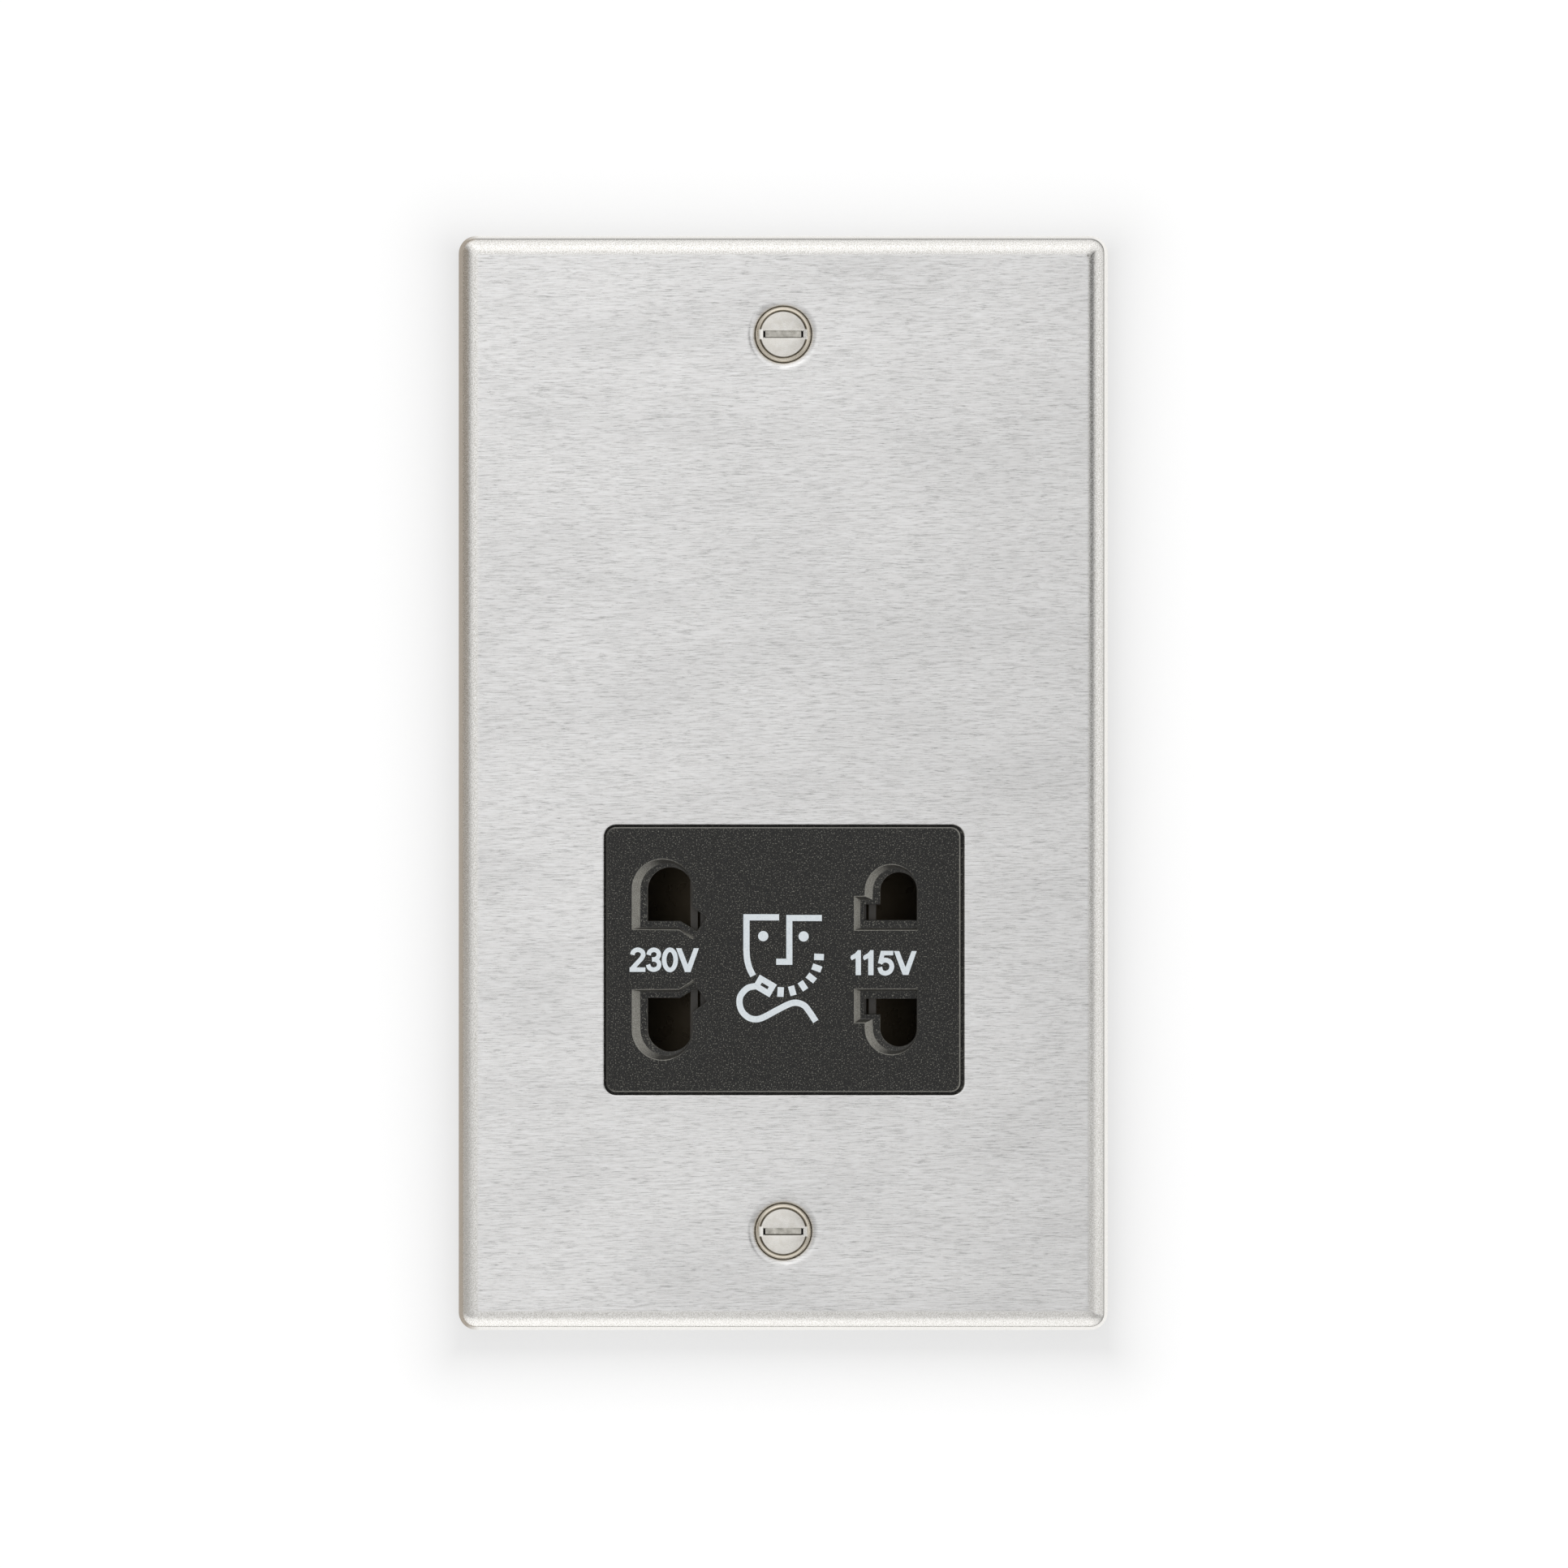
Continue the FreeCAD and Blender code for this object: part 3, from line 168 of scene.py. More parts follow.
def brushed_stainless():
    """Stainless sheet, belt brushed from side to side before the rim was pressed over it.
    The brushing shows as short level hairlines, and the pressed rim as a finely pitted band.
    The sheet's tone falls off a little to the right and below, a painted shade in place of
    the fall of the light. One small dark pit lies near the upper right-hand corner."""
    material, tree, shader = new_material("brushed_stainless_sheet", "#dcdbd9", 0.3, metallic=1.0)
    wander = noise(tree, (3.0, 3.0, 1.2), detail=1.0)
    grains = placed(tree, (2.2, 3.0, 0.12))
    sway = add(tree, "VectorMath", {"operation": "SCALE", "Scale": 1.6}, {0: wander})
    swayed = add(tree, "VectorMath", {"operation": "ADD"}, {0: grains, 1: sway.outputs["Vector"]})
    hairlines = add(tree, "TexNoise", {"Scale": 1.0, "Detail": 4.0, "Roughness": 0.6},
                    {"Vector": swayed.outputs["Vector"]}).outputs["Fac"]
    scratches = noise(tree, (1.3, 3.0, 0.1), detail=2.0, roughness=0.5)
    pitting = noise(tree, (0.15, 0.15, 0.15), detail=2.0, roughness=0.6)
    clouding = noise(tree, (22.0, 22.0, 8.0), detail=3.0)
    point = add(tree, "TexCoord").outputs["Object"]
    places = add(tree, "SeparateXYZ", {}, {"Vector": point})
    edges = []
    for name, half in (("X", PLATE_HIGH.x), ("Z", PLATE_HIGH.z)):
        reach = add(tree, "Math", {"operation": "ABSOLUTE"}, {0: places.outputs[name]}).outputs[0]
        edges.append(add(tree, "Math", {"operation": "SUBTRACT", 1: half}, {0: reach}).outputs[0])
    nearest = add(tree, "Math", {"operation": "MAXIMUM"}, {0: edges[0], 1: edges[1]}).outputs[0]
    rim = span(tree, nearest, -2.9 * MM, -2.5 * MM)
    brushed = ramp(tree, hairlines, [(0.3, "#c9c9c8"), (0.47, "#f0efee"), (0.7, "#ffffff")])
    streaks = ramp(tree, scratches, [(0.24, 0.45), (0.38, 0.92), (0.5, 1.0), (1.0, 1.0)])
    brushed = mixed(tree, 0.8, brushed, streaks, "MULTIPLY")
    speckled = ramp(tree, pitting, [(0.3, "#c6c4bf"), (0.5, "#e2e0dc"), (0.7, "#f8f7f5")])
    veil = ramp(tree, clouding, [(0.3, 1.0), (0.5, 0.965), (0.7, 0.91)])
    clouded = mixed(tree, 1.0, brushed, veil, "MULTIPLY")
    # Painted shade: the tone falls off to the right and below, standing in for the fall of the light.
    across = ramp(tree, span(tree, places.outputs["X"], PLATE_LOW.x, PLATE_HIGH.x), [(0.0, 1.0), (1.0, 0.9)])
    upward = ramp(tree, span(tree, places.outputs["Z"], PLATE_LOW.z, PLATE_HIGH.z),
                  [(0.0, 0.925), (0.6, 0.93), (1.0, 1.0)])
    clouded = mixed(tree, 1.0, clouded, mixed(tree, 1.0, across, upward, "MULTIPLY"), "MULTIPLY")
    spot = add(tree, "CombineXYZ", {"X": 41.05 * MM, "Z": 70.9 * MM}, {"Y": places.outputs["Y"]}).outputs[0]
    gap = add(tree, "VectorMath", {"operation": "DISTANCE"}, {0: point, 1: spot}).outputs["Value"]
    clouded = mixed(tree, span(tree, gap, 0.12 * MM, 0.3 * MM), "#6d6961", clouded)
    tree.links.new(mixed(tree, rim, clouded, speckled), shader.inputs["Base Color"])
    level = mixed(tree, rim, span(tree, hairlines, 0.3, 0.7, 0.24, 0.34),
                  span(tree, pitting, 0.3, 0.7, 0.17, 0.24))
    tree.links.new(level, shader.inputs["Roughness"])
    height = mixed(tree, rim, hairlines, span(tree, pitting, 0.0, 1.0, 0.0, 0.5))
    bumped(tree, shader, height, 0.014, 0.6)
    return material


def nickel_plate():
    """Nickel over turned steel. The flat of each head is bright. Its rounded rim is warm and
    tarnished, paler along its middle, a painted highlight, and dark at the groove inside it and
    at its outer edge, a painted shade. The slot's floor is darker than the head, a painted
    shade, with a dark line along its lower edge and a near-black pit at each end, painted
    shade in the pits. The run-outs past the pits are paler than the flat, a painted highlight."""
    material, tree, shader = new_material("nickel_plated_steel", "#dcd8d0", 0.26, metallic=1.0)
    scuffs = noise(tree, (1.2, 0.5, 0.12), detail=3.0, roughness=0.6)
    blotches = noise(tree, (0.8, 0.8, 0.8), detail=2.0)
    places = add(tree, "SeparateXYZ", {}, {"Vector": add(tree, "TexCoord").outputs["Object"]})
    height = add(tree, "Math", {"operation": "ABSOLUTE"}, {0: places.outputs["Z"]}).outputs[0]
    level = add(tree, "Math", {"operation": "SUBTRACT", 1: FIXING_REACH}, {0: height}).outputs[0]
    arm = add(tree, "CombineXYZ", {}, {"X": places.outputs["X"], "Z": level})
    radius = add(tree, "VectorMath", {"operation": "LENGTH"}, {0: arm.outputs[0]}).outputs["Value"]
    # Painted highlight and painted shade: the rim is paler along its middle, and dark at the groove inside it and at
    # its outer edge.
    rings = ramp(tree, span(tree, radius, 0.0, 4.0 * MM), [
        (0.0, "#e8e6e2"), (0.74, "#e2dfd9"), (0.765, "#463f34"), (0.785, "#71695a"), (0.81, "#aea593"),
        (0.85, "#d8d0c2"), (0.89, "#dfd7c9"), (0.915, "#cbc1ae"), (0.935, "#948973"), (1.0, "#5d5546")])
    tone = mixed(tree, span(tree, blotches, 0.35, 0.75, 0.0, 0.35), rings, "#c4beb2")
    reach = add(tree, "Math", {"operation": "ABSOLUTE"}, {0: places.outputs["X"]}).outputs[0]
    rise = add(tree, "Math", {"operation": "ABSOLUTE"}, {0: level}).outputs[0]
    inside = span(tree, rise, 0.56 * MM, 0.5 * MM)
    past = span(tree, reach, (SLOT_REACH + 0.2) * MM, (SLOT_REACH + 0.26) * MM)
    within = span(tree, reach, 3.3 * MM, 3.2 * MM)
    # Painted highlight: the run-outs at the slot's ends are paler than the flat of the head.
    flat = add(tree, "Math", {"operation": "MULTIPLY"}, {0: span(tree, rise, 0.72 * MM, 0.62 * MM), 1: past}).outputs[0]
    flat = add(tree, "Math", {"operation": "MULTIPLY"}, {0: flat, 1: within}).outputs[0]
    tone = mixed(tree, flat, tone, "#f3f1ec")
    # Painted shade: the slot's floor is darker than the head.
    short = span(tree, reach, (SLOT_REACH + 0.22) * MM, (SLOT_REACH + 0.17) * MM)
    sunk = span(tree, places.outputs["Y"], -4.8 * MM, -4.72 * MM)
    slot_shade = add(tree, "Math", {"operation": "MULTIPLY"}, {0: inside, 1: short}).outputs[0]
    slot_shade = add(tree, "Math", {"operation": "MULTIPLY"}, {0: slot_shade, 1: sunk}).outputs[0]
    floor = mixed(tree, span(tree, blotches, 0.3, 0.7), "#a29f97", "#d3d0c8")
    end = add(tree, "Math", {"operation": "SIGN"}, {0: places.outputs["Z"]}).outputs[0]
    height = add(tree, "Math", {"operation": "MULTIPLY"}, {0: level, 1: end}).outputs[0]
    floor = mixed(tree, span(tree, height, -0.42 * MM, -0.3 * MM), "#4a463d", floor)
    # Painted shade: the pit at each end of the slot is near-black.
    pit = span(tree, reach, (SLOT_REACH - 0.12) * MM, (SLOT_REACH - 0.05) * MM)
    floor = mixed(tree, pit, floor, "#0c0b09")
    tree.links.new(mixed(tree, slot_shade, tone, floor), shader.inputs["Base Color"])
    tree.links.new(span(tree, scuffs, 0.3, 0.7, 0.22, 0.36), shader.inputs["Roughness"])
    bumped(tree, shader, scuffs, 0.006, 0.5)
    return material


def speckled_moulding():
    """Urea moulding in charcoal with a fine grain of lighter specks. Its slopes are painted
    lighter than the face, a painted sheen, and the slopes that face right and the lips of the
    edges paler still, painted highlights from light on the right."""
    material, tree, shader = new_material("charcoal_urea_moulding", "#20201e", 0.45, ior=1.42)
    grain = noise(tree, (0.12, 0.12, 0.12), detail=3.0, roughness=0.8)
    specks = noise(tree, (0.165, 0.165, 0.165), detail=1.0, roughness=0.4)
    ground = ramp(tree, grain, [(0.34, "#020202"), (0.5, "#0b0b0a"), (0.66, "#373632")])
    dots = ramp(tree, specks, [(0.0, 0.0), (0.59, 0.0), (0.68, 0.55), (1.0, 1.0)])
    face = mixed(tree, dots, ground, "#8f8d84")
    # Painted sheen: the slopes are lighter than the face.
    painted_slope_sheen = ramp(tree, grain, [(0.34, "#22211f"), (0.5, "#373633"), (0.66, "#575550")])
    pale = ramp(tree, grain, [(0.34, "#65635d"), (0.5, "#8c8a83"), (0.66, "#b5b3aa")])
    facing = add(tree, "SeparateXYZ", {}, {"Vector": add(tree, "NewGeometry").outputs["Normal"]})
    depth = add(tree, "SeparateXYZ", {}, {"Vector": add(tree, "TexCoord").outputs["Object"]}).outputs["Y"]
    # Painted highlight: the lips near the front, except those facing left, and the slopes facing right are paler.
    painted_lip_highlight = add(tree, "Math", {"operation": "MULTIPLY"},
              {0: span(tree, depth, FACE_FRONT + 0.18 * MM, FACE_FRONT + 0.06 * MM),
               1: span(tree, facing.outputs["X"], -0.5, -0.1)}).outputs[0]
    painted_highlight = add(tree, "Math", {"operation": "MAXIMUM"},
               {0: span(tree, facing.outputs["X"], 0.15, 0.6), 1: painted_lip_highlight}).outputs[0]
    slope = span(tree, facing.outputs["Y"], -0.97, -0.8)
    tone = mixed(tree, slope, face, mixed(tree, painted_highlight, painted_slope_sheen, pale))
    tree.links.new(tone, shader.inputs["Base Color"])
    tree.links.new(span(tree, grain, 0.3, 0.7, 0.36, 0.5), shader.inputs["Roughness"])
    bumped(tree, shader, grain, 0.025, 0.8)
    return material


def grained(name, dark, light, roughness, grain=0.3, depth=0.01, metallic=0.0, ior=None, coat=0.0, stretch=(1, 1, 1)):
    """A moulded, plated or drawn surface with a fine mottle between two tones."""
    material, tree, shader = new_material(name, dark, roughness, metallic, ior, coat)
    pattern = noise(tree, [grain * length for length in stretch], detail=3.0, roughness=0.6)
    tone = mixed(tree, span(tree, pattern, 0.3, 0.7), dark, light)
    tree.links.new(tone, shader.inputs["Base Color"])
    spread = roughness * 0.18
    tree.links.new(span(tree, pattern, 0.3, 0.7, roughness - spread, roughness + spread),
                   shader.inputs["Roughness"])
    bumped(tree, shader, pattern, depth, 0.6)
    return material


def layered(name, dark, light, pitch, axis, roughness, metallic, depth, coat=0.0):
    """Thin layers of one pitch along an axis, as of stacked sheets or wound wire."""
    material, tree, shader = new_material(name, dark, roughness, metallic, coat=coat)
    size = [1.0, 1.0, 1.0]
    wave = add(tree, "TexWave", {"wave_type": "BANDS", "bands_direction": axis, "Scale": 1.0,
                                 "Distortion": 0.3, "Detail": 2.0},
               {"Vector": placed(tree, [length * pitch * 2.0 * math.pi / 20.0 * 10.0 for length in size])})
    mottle = noise(tree, (1.5, 1.5, 1.5), detail=2.0)
    stripes = mixed(tree, wave.outputs["Fac"], dark, light)
    tree.links.new(mixed(tree, span(tree, mottle, 0.4, 0.8, 0.0, 0.4), stripes, dark), shader.inputs["Base Color"])
    bumped(tree, shader, wave.outputs["Fac"], depth, 0.8)
    return material


def marking_ink():
    """Pad-printed ink, a cool off-white that lets the grain through a little."""
    material, tree, shader = new_material("pad_printed_white_ink", "#dfe7ec", 0.5, ior=1.5)
    cover = noise(tree, (0.25, 0.25, 0.25), detail=3.0, roughness=0.7)
    tone = ramp(tree, cover, [(0.28, "#d2dce2"), (0.45, "#e8f0f5"), (0.7, "#eff5f8")])
    tree.links.new(tone, shader.inputs["Base Color"])
    bumped(tree, shader, cover, 0.01, 0.5)
    return material


PLATE = brushed_stainless()
NICKEL = nickel_plate()
FACE = speckled_moulding()
INK = marking_ink()
# Black nylon, moulded and a little glossy, so that it shows soft highlights in the slots.
SHUTTER = grained("black_glossy_nylon", "#322c23", "#3a342a", 0.3, grain=3.0, depth=0.002, ior=1.53)
# Natural nylon, cloudy and slightly waxy.
CARRIER = grained("natural_nylon_moulding", "#cfc9b8", "#ded9c9", 0.42, grain=0.8, depth=0.008, ior=1.53)
BOBBIN = grained("glass_filled_nylon", "#d3ccb6", "#e3ddca", 0.5, grain=0.35, depth=0.012, ior=1.53)
# Phosphor bronze strip, rolled, with lines along the roll.
BRONZE = grained("rolled_phosphor_bronze", "#b3854c", "#cc9e63", 0.3, grain=0.3, depth=0.005,
                 metallic=1.0, stretch=(8, 1, 1))
# Drawn spring wire, grey with a slight sheen.
SPRING = grained("drawn_spring_wire", "#8f8f8e", "#b9b9b8", 0.3, grain=0.2, depth=0.004, metallic=1.0)
# Zinc plate with clear passivate: pale, slightly blue and cloudy.
ZINC = grained("bright_zinc_plate", "#b3b6ba", "#d6d7d6", 0.3, grain=0.6, depth=0.005, metallic=1.0)
BRASS = grained("sawn_plain_brass", "#b8924a", "#d4b06a", 0.3, grain=0.4, depth=0.006, metallic=1.0)
# Flame-retardant moulding, white turning to cream, with a fine eroded texture outside.
HOUSING = grained("white_textured_moulding", "#d9d7cf", "#e8e6df", 0.5, grain=0.35, depth=0.025, ior=1.5)
BLOCK = grained("white_melamine_moulding", "#dcdbd5", "#ebeae5", 0.34, grain=0.7, depth=0.006, ior=1.5)
CUTOUT = grained("black_phenolic_case", "#191919", "#2a2a29", 0.4, grain=0.3, depth=0.01, ior=1.5)
# Electrical steel sheets of half a millimetre, dipped in dark varnish.
CORE = layered("varnished_core_sheets", "#2c2e33", "#54575d", 0.5, "Y", 0.42, 0.6, 0.05)
# Enamelled copper wire wound in level rows, drawn coarser than it is so that it shows.
COPPER = layered("enamelled_copper_wire", "#6e2e12", "#c4703a", 0.45, "Z", 0.28, 1.0, 0.1, coat=0.5)
TAPE = grained("yellow_polyester_tape", "#b8921f", "#d9b13a", 0.22, grain=2.0, depth=0.01, ior=1.58,
               stretch=(3, 3, 1))


# Mesh helpers

def finished(shape, name, material, body="housing", replaced=(), crease=35.0):
    """Makes an object of a bmesh, smooth apart from its creases, which rides on a body."""
    bmesh.ops.recalc_face_normals(shape, faces=shape.faces)
    for face in shape.faces:
        face.smooth = True
    mesh = bpy.data.meshes.new(name)
    shape.to_mesh(mesh)
    shape.free()
    mesh.set_sharp_from_angle(angle=math.radians(crease))
    mesh.materials.append(material)
    piece = bpy.data.objects.new(name, mesh)
    bpy.context.scene.collection.objects.link(piece)
    if body:
        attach(piece, body)
    if replaced:
        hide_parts(*replaced)
    return piece


def merged(node):
    """A copy of a CAD piece whose loose triangles are joined, with its flat faces whole."""
    shape = bmesh.new()
    shape.from_mesh(nodes[node].data)
    bmesh.ops.remove_doubles(shape, verts=shape.verts, dist=0.002 * MM)
    bmesh.ops.dissolve_limit(shape, angle_limit=math.radians(0.5), use_dissolve_boundaries=False,
                             verts=shape.verts, edges=shape.edges, delimit={"NORMAL"})
    return shape


def softened(node, material, radius, body="housing", segments=2, fold=25.0, crease=35.0):
    """A CAD piece with its sharp edges rounded off, as tools and moulds leave them."""
    shape = merged(node)
    sharp = []
    for edge in shape.edges:
        if len(edge.link_faces) == 2 and edge.calc_face_angle() > math.radians(fold):
            sharp.append(edge)
    bmesh.ops.bevel(shape, geom=sharp, offset=radius * MM, offset_type="OFFSET", affect="EDGES",
                    segments=segments, profile=0.5, material=-1, clamp_overlap=True)
    piece = finished(shape, node + "_finished", material, body, (node,), crease)
    piece.modifiers.new("even_normals", "WEIGHTED_NORMAL").keep_sharp = True
    return piece


def turned(profile, centre, steps=96):
    """Spins a profile of radius and depth, in millimetres, about a line along Y."""
    shape = bmesh.new()
    points = [shape.verts.new((centre.x + radius * MM, depth * MM, centre.z)) for radius, depth in profile]
    edges = [shape.edges.new(pair) for pair in zip(points, points[1:])]
    bmesh.ops.spin(shape, geom=points + edges, cent=centre, axis=(0, 1, 0), dvec=(0, 0, 0),
                   angle=math.tau, steps=steps, use_merge=True)
    bmesh.ops.remove_doubles(shape, verts=shape.verts, dist=0.001 * MM)
    bmesh.ops.recalc_face_normals(shape, faces=shape.faces)
    return shape


def boxed(low, high):
    """A box between two corners in metres."""
    shape = bmesh.new()
    size = Vector(high) - Vector(low)
    middle = (Vector(high) + Vector(low)) / 2
    bmesh.ops.create_cube(shape, size=1.0, matrix=Matrix.Translation(middle) @ Matrix.Diagonal((*size, 1)))
    return shape


def carved(shape, cutters):
    """A shape less its cutters."""
    holders = []
    for part in [shape] + cutters:
        mesh = bpy.data.meshes.new("part")
        part.to_mesh(mesh)
        part.free()
        holder = bpy.data.objects.new("part", mesh)
        bpy.context.scene.collection.objects.link(holder)
        holders.append(holder)
    for cutter in holders[1:]:
        modifier = holders[0].modifiers.new("cut", "BOOLEAN")
        modifier.operation = "DIFFERENCE"
        modifier.solver = "EXACT"
        modifier.object = cutter
    graph = bpy.context.evaluated_depsgraph_get()
    result = bmesh.new()
    result.from_mesh(bpy.data.meshes.new_from_object(holders[0].evaluated_get(graph)))
    for holder in holders:
        bpy.data.objects.remove(holder)
    return result


def coil(shape, section, centre, axis, pitch, turns, steps):
    """Adds a closed section of points, wound about an axis, and caps its two ends."""
    points = [shape.verts.new(point) for point in section]
    edges = [shape.edges.new((points[place - 1], points[place])) for place in range(len(points))]
    before = set(shape.edges)
    travel = Vector(axis) * (pitch / steps)
    bmesh.ops.spin(shape, geom=points + edges, cent=centre, axis=axis, dvec=travel,
                   angle=math.tau * turns, steps=int(steps * turns), use_merge=False)
    rims = [edge for edge in shape.edges if len(edge.link_faces) == 1 and (edge in edges or edge not in before)]
    bmesh.ops.holes_fill(shape, edges=rims, sides=len(points))


# Loops of points, in millimetres, and the walls and flats between them

def mitred(line, closed=True):
    """For each point of a line, the way to its left and how far a shift of one moves it."""
    count = len(line)
    ways = []
    for place, point in enumerate(line):
        runs = []
        if closed or place > 0:
            runs.append((point - line[place - 1]).normalized())
        if closed or place < count - 1:
            runs.append((line[(place + 1) % count] - point).normalized())
        along = sum(runs, Vector((0, 0))).normalized()
        ways.append(Vector((-along.y, along.x)) / max(0.5, along.dot(runs[0])))
    return ways


def shifted(points, amount):
    """A closed loop moved to its left by an amount, which is inwards for one drawn leftwards."""
    line = [Vector(point) for point in points]
    return [tuple(point + way * amount) for point, way in zip(line, mitred(line))]


def round_rect(half_width, half_height, radius, middle=(0.0, 0.0), steps=10):
    """A rectangle with round corners, drawn leftwards from its right-hand side."""
    points = []
    for turn, (across, level) in enumerate(((1, 1), (-1, 1), (-1, -1), (1, -1))):
        centre = (middle[0] + across * (half_width - radius), middle[1] + level * (half_height - radius))
        for step in range(steps + 1):
            angle = math.pi / 2 * (turn + step / steps)
            points.append((centre[0] + radius * math.cos(angle), centre[1] + radius * math.sin(angle)))
    return points


def circle(middle, radius, steps=72):
    return [(middle[0] + radius * math.cos(math.tau * place / steps),
             middle[1] + radius * math.sin(math.tau * place / steps)) for place in range(steps)]


def sleeve(shape, sections):
    """Walls through loops of equal counts at their depths. Returns its first and last edges."""
    rings = [[shape.verts.new((across * MM, depth * MM, level * MM)) for across, level in points]
             for depth, points in sections]
    for first, second in zip(rings, rings[1:]):
        for place in range(len(first)):
            shape.faces.new((first[place - 1], first[place], second[place], second[place - 1]))
    ends = []
    for ring in (rings[0], rings[-1]):
        ends.append([shape.edges.get((ring[place - 1], ring[place])) for place in range(len(ring))])
    return ends


def fill(shape, loops):
    """A flat between an outer loop of edges and the loops of its holes."""
    bmesh.ops.triangle_fill(shape, use_beauty=True, edges=[edge for loop in loops for edge in loop])


# Front plate: a pressed sheet, bent over at its rim, with a window and two sunk screw seats

SHEET_FRONT = -4.5
SHEET_BACK = -3.7
DRAFT = 0.52
FOLD_DEPTH = -3.15
FOLD_RADIUS = 0.55
RIM_TILT = 42.0
BEND_RADIUS = 3.0
PLATE_CORNER = 2.4


def plate_loop(inset):
    half_width = PLATE_HIGH.x / MM - inset
    half_height = PLATE_HIGH.z / MM - inset
    return round_rect(half_width, half_height, max(0.7, PLATE_CORNER - inset))


def steel_plate():
    wall_tilt, rim_tilt = math.atan2(-FOLD_DEPTH, DRAFT), math.radians(RIM_TILT)
    outer = [(0.0, 0.0)]
    for step in range(5):
        angle = wall_tilt + (rim_tilt - wall_tilt) * step / 4
        outer.append((FOLD_DEPTH - FOLD_RADIUS * (math.cos(angle) - math.cos(wall_tilt)),
                      DRAFT + FOLD_RADIUS * (math.sin(wall_tilt) - math.sin(angle))))
    bend_start = SHEET_FRONT + BEND_RADIUS * (1 - math.cos(rim_tilt))
    bend_end = outer[-1][1] + (outer[-1][0] - bend_start) / math.tan(rim_tilt) + BEND_RADIUS * math.sin(rim_tilt)
    for step in range(11):
        angle = rim_tilt * (1 - step / 10)
        outer.append((SHEET_FRONT + BEND_RADIUS * (1 - math.cos(angle)), bend_end - BEND_RADIUS * math.sin(angle)))
    inner = [(0.0, 0.8), (-2.86, 1.5), (SHEET_BACK, 2.4)]
    shape = bmesh.new()
    rim = sleeve(shape, [(depth, plate_loop(inset)) for depth, inset in reversed(outer)]
                 + [(depth, plate_loop(inset)) for depth, inset in inner])
    fronts, backs = [rim[0]], [rim[1]]
    edge_roll = [(SHEET_FRONT, 0.34), (-4.49, 0.26), (-4.46, 0.18), (-4.41, 0.11), (-4.34, 0.06), (-4.25, 0.02),
                 (-4.12, 0.0), (SHEET_BACK, 0.0)]
    window = sleeve(shape, [(depth, round_rect(24.1 + out, 18.05 + out, 1.5 + out, (0.12, OUTLET_LEVEL - 0.04)))
                            for depth, out in edge_roll])
    seat = [(SHEET_FRONT, 4.95), (-4.492, 4.75), (-4.46, 4.58), (-4.4, 4.42), (-4.315, 4.26), (-4.225, 4.1),
            (-4.142, 3.94), (-4.065, 3.79), (-2.3, 2.1), (-2.15, 2.1), (-2.15, 2.93), (-3.5, 4.4), (SHEET_BACK, 4.95)]
    holes = [window]
    for side in (1, -1):
        middle = (0.0, FIXING_REACH / MM * side)
        holes.append(sleeve(shape, [(depth, circle(middle, radius)) for depth, radius in seat]))
    for hole in holes:
        fronts.append(hole[0])
        backs.append(hole[1])
    fill(shape, fronts)
    fill(shape, backs)
    piece = finished(shape, "front_plate_pressed", PLATE, replaced=("front_plate",), crease=40.0)
    piece.modifiers.new("even_normals", "WEIGHTED_NORMAL").keep_sharp = True


# Socket face: keyed pin slots, each with a sloping mouth, a narrow ledge and a straight throat.
# Corners are in millimetres, with heights above the middle of the outlets. A corner with four
# values ends a half round about a centre.

SLOT_230 = (
    [(-14.0, 4.0), (-12.1, 2.75), (-10.2, 5.7), (-12.17, 7.15), (-12.17, 9.46),
     (-20.31, 9.46, -16.24, 9.46), (-20.31, 4.05)],
    [(-13.95, 4.32), (-12.0, 3.1), (-10.2, 5.7), (-12.17, 7.15), (-12.17, 9.41),
     (-19.25, 9.41, -15.71, 9.41), (-19.25, 4.32)],
    [(-13.85, 5.17), (-11.65, 3.8), (-10.2, 5.7), (-12.17, 7.15), (-12.17, 9.36),
     (-18.23, 9.36, -15.2, 9.36), (-18.23, 5.17)],
)
SLOT_115 = (
    [(18.06, 3.95), (18.06, 9.28), (11.02, 9.28, 14.54, 9.28), (11.02, 8.5), (9.55, 8.5), (9.55, 3.95)],
    [(18.06, 4.25), (18.06, 9.25), (12.0, 9.25, 15.03, 9.25), (12.0, 8.0), (10.35, 8.0), (10.35, 4.25)],
    [(18.06, 5.28), (18.06, 9.21), (13.04, 9.21, 15.55, 9.21), (13.04, 7.4), (10.85, 7.4), (10.85, 5.28)],
)


def slot_loop(corners, side, out=0.0):
    """A slot's outline in the upper row, or mirrored for the lower row, widened by an amount."""
    points = []
    for corner in corners:
        if len(corner) == 4:
            radius = points[-1][0] - corner[2]
            for step in range(1, 25):
                angle = math.pi * step / 24
                points.append((corner[2] + radius * math.cos(angle), corner[3] + radius * math.sin(angle)))
        else:
            points.append(corner)
    return [(across, OUTLET_LEVEL + level * side) for across, level in shifted(points, -out)]


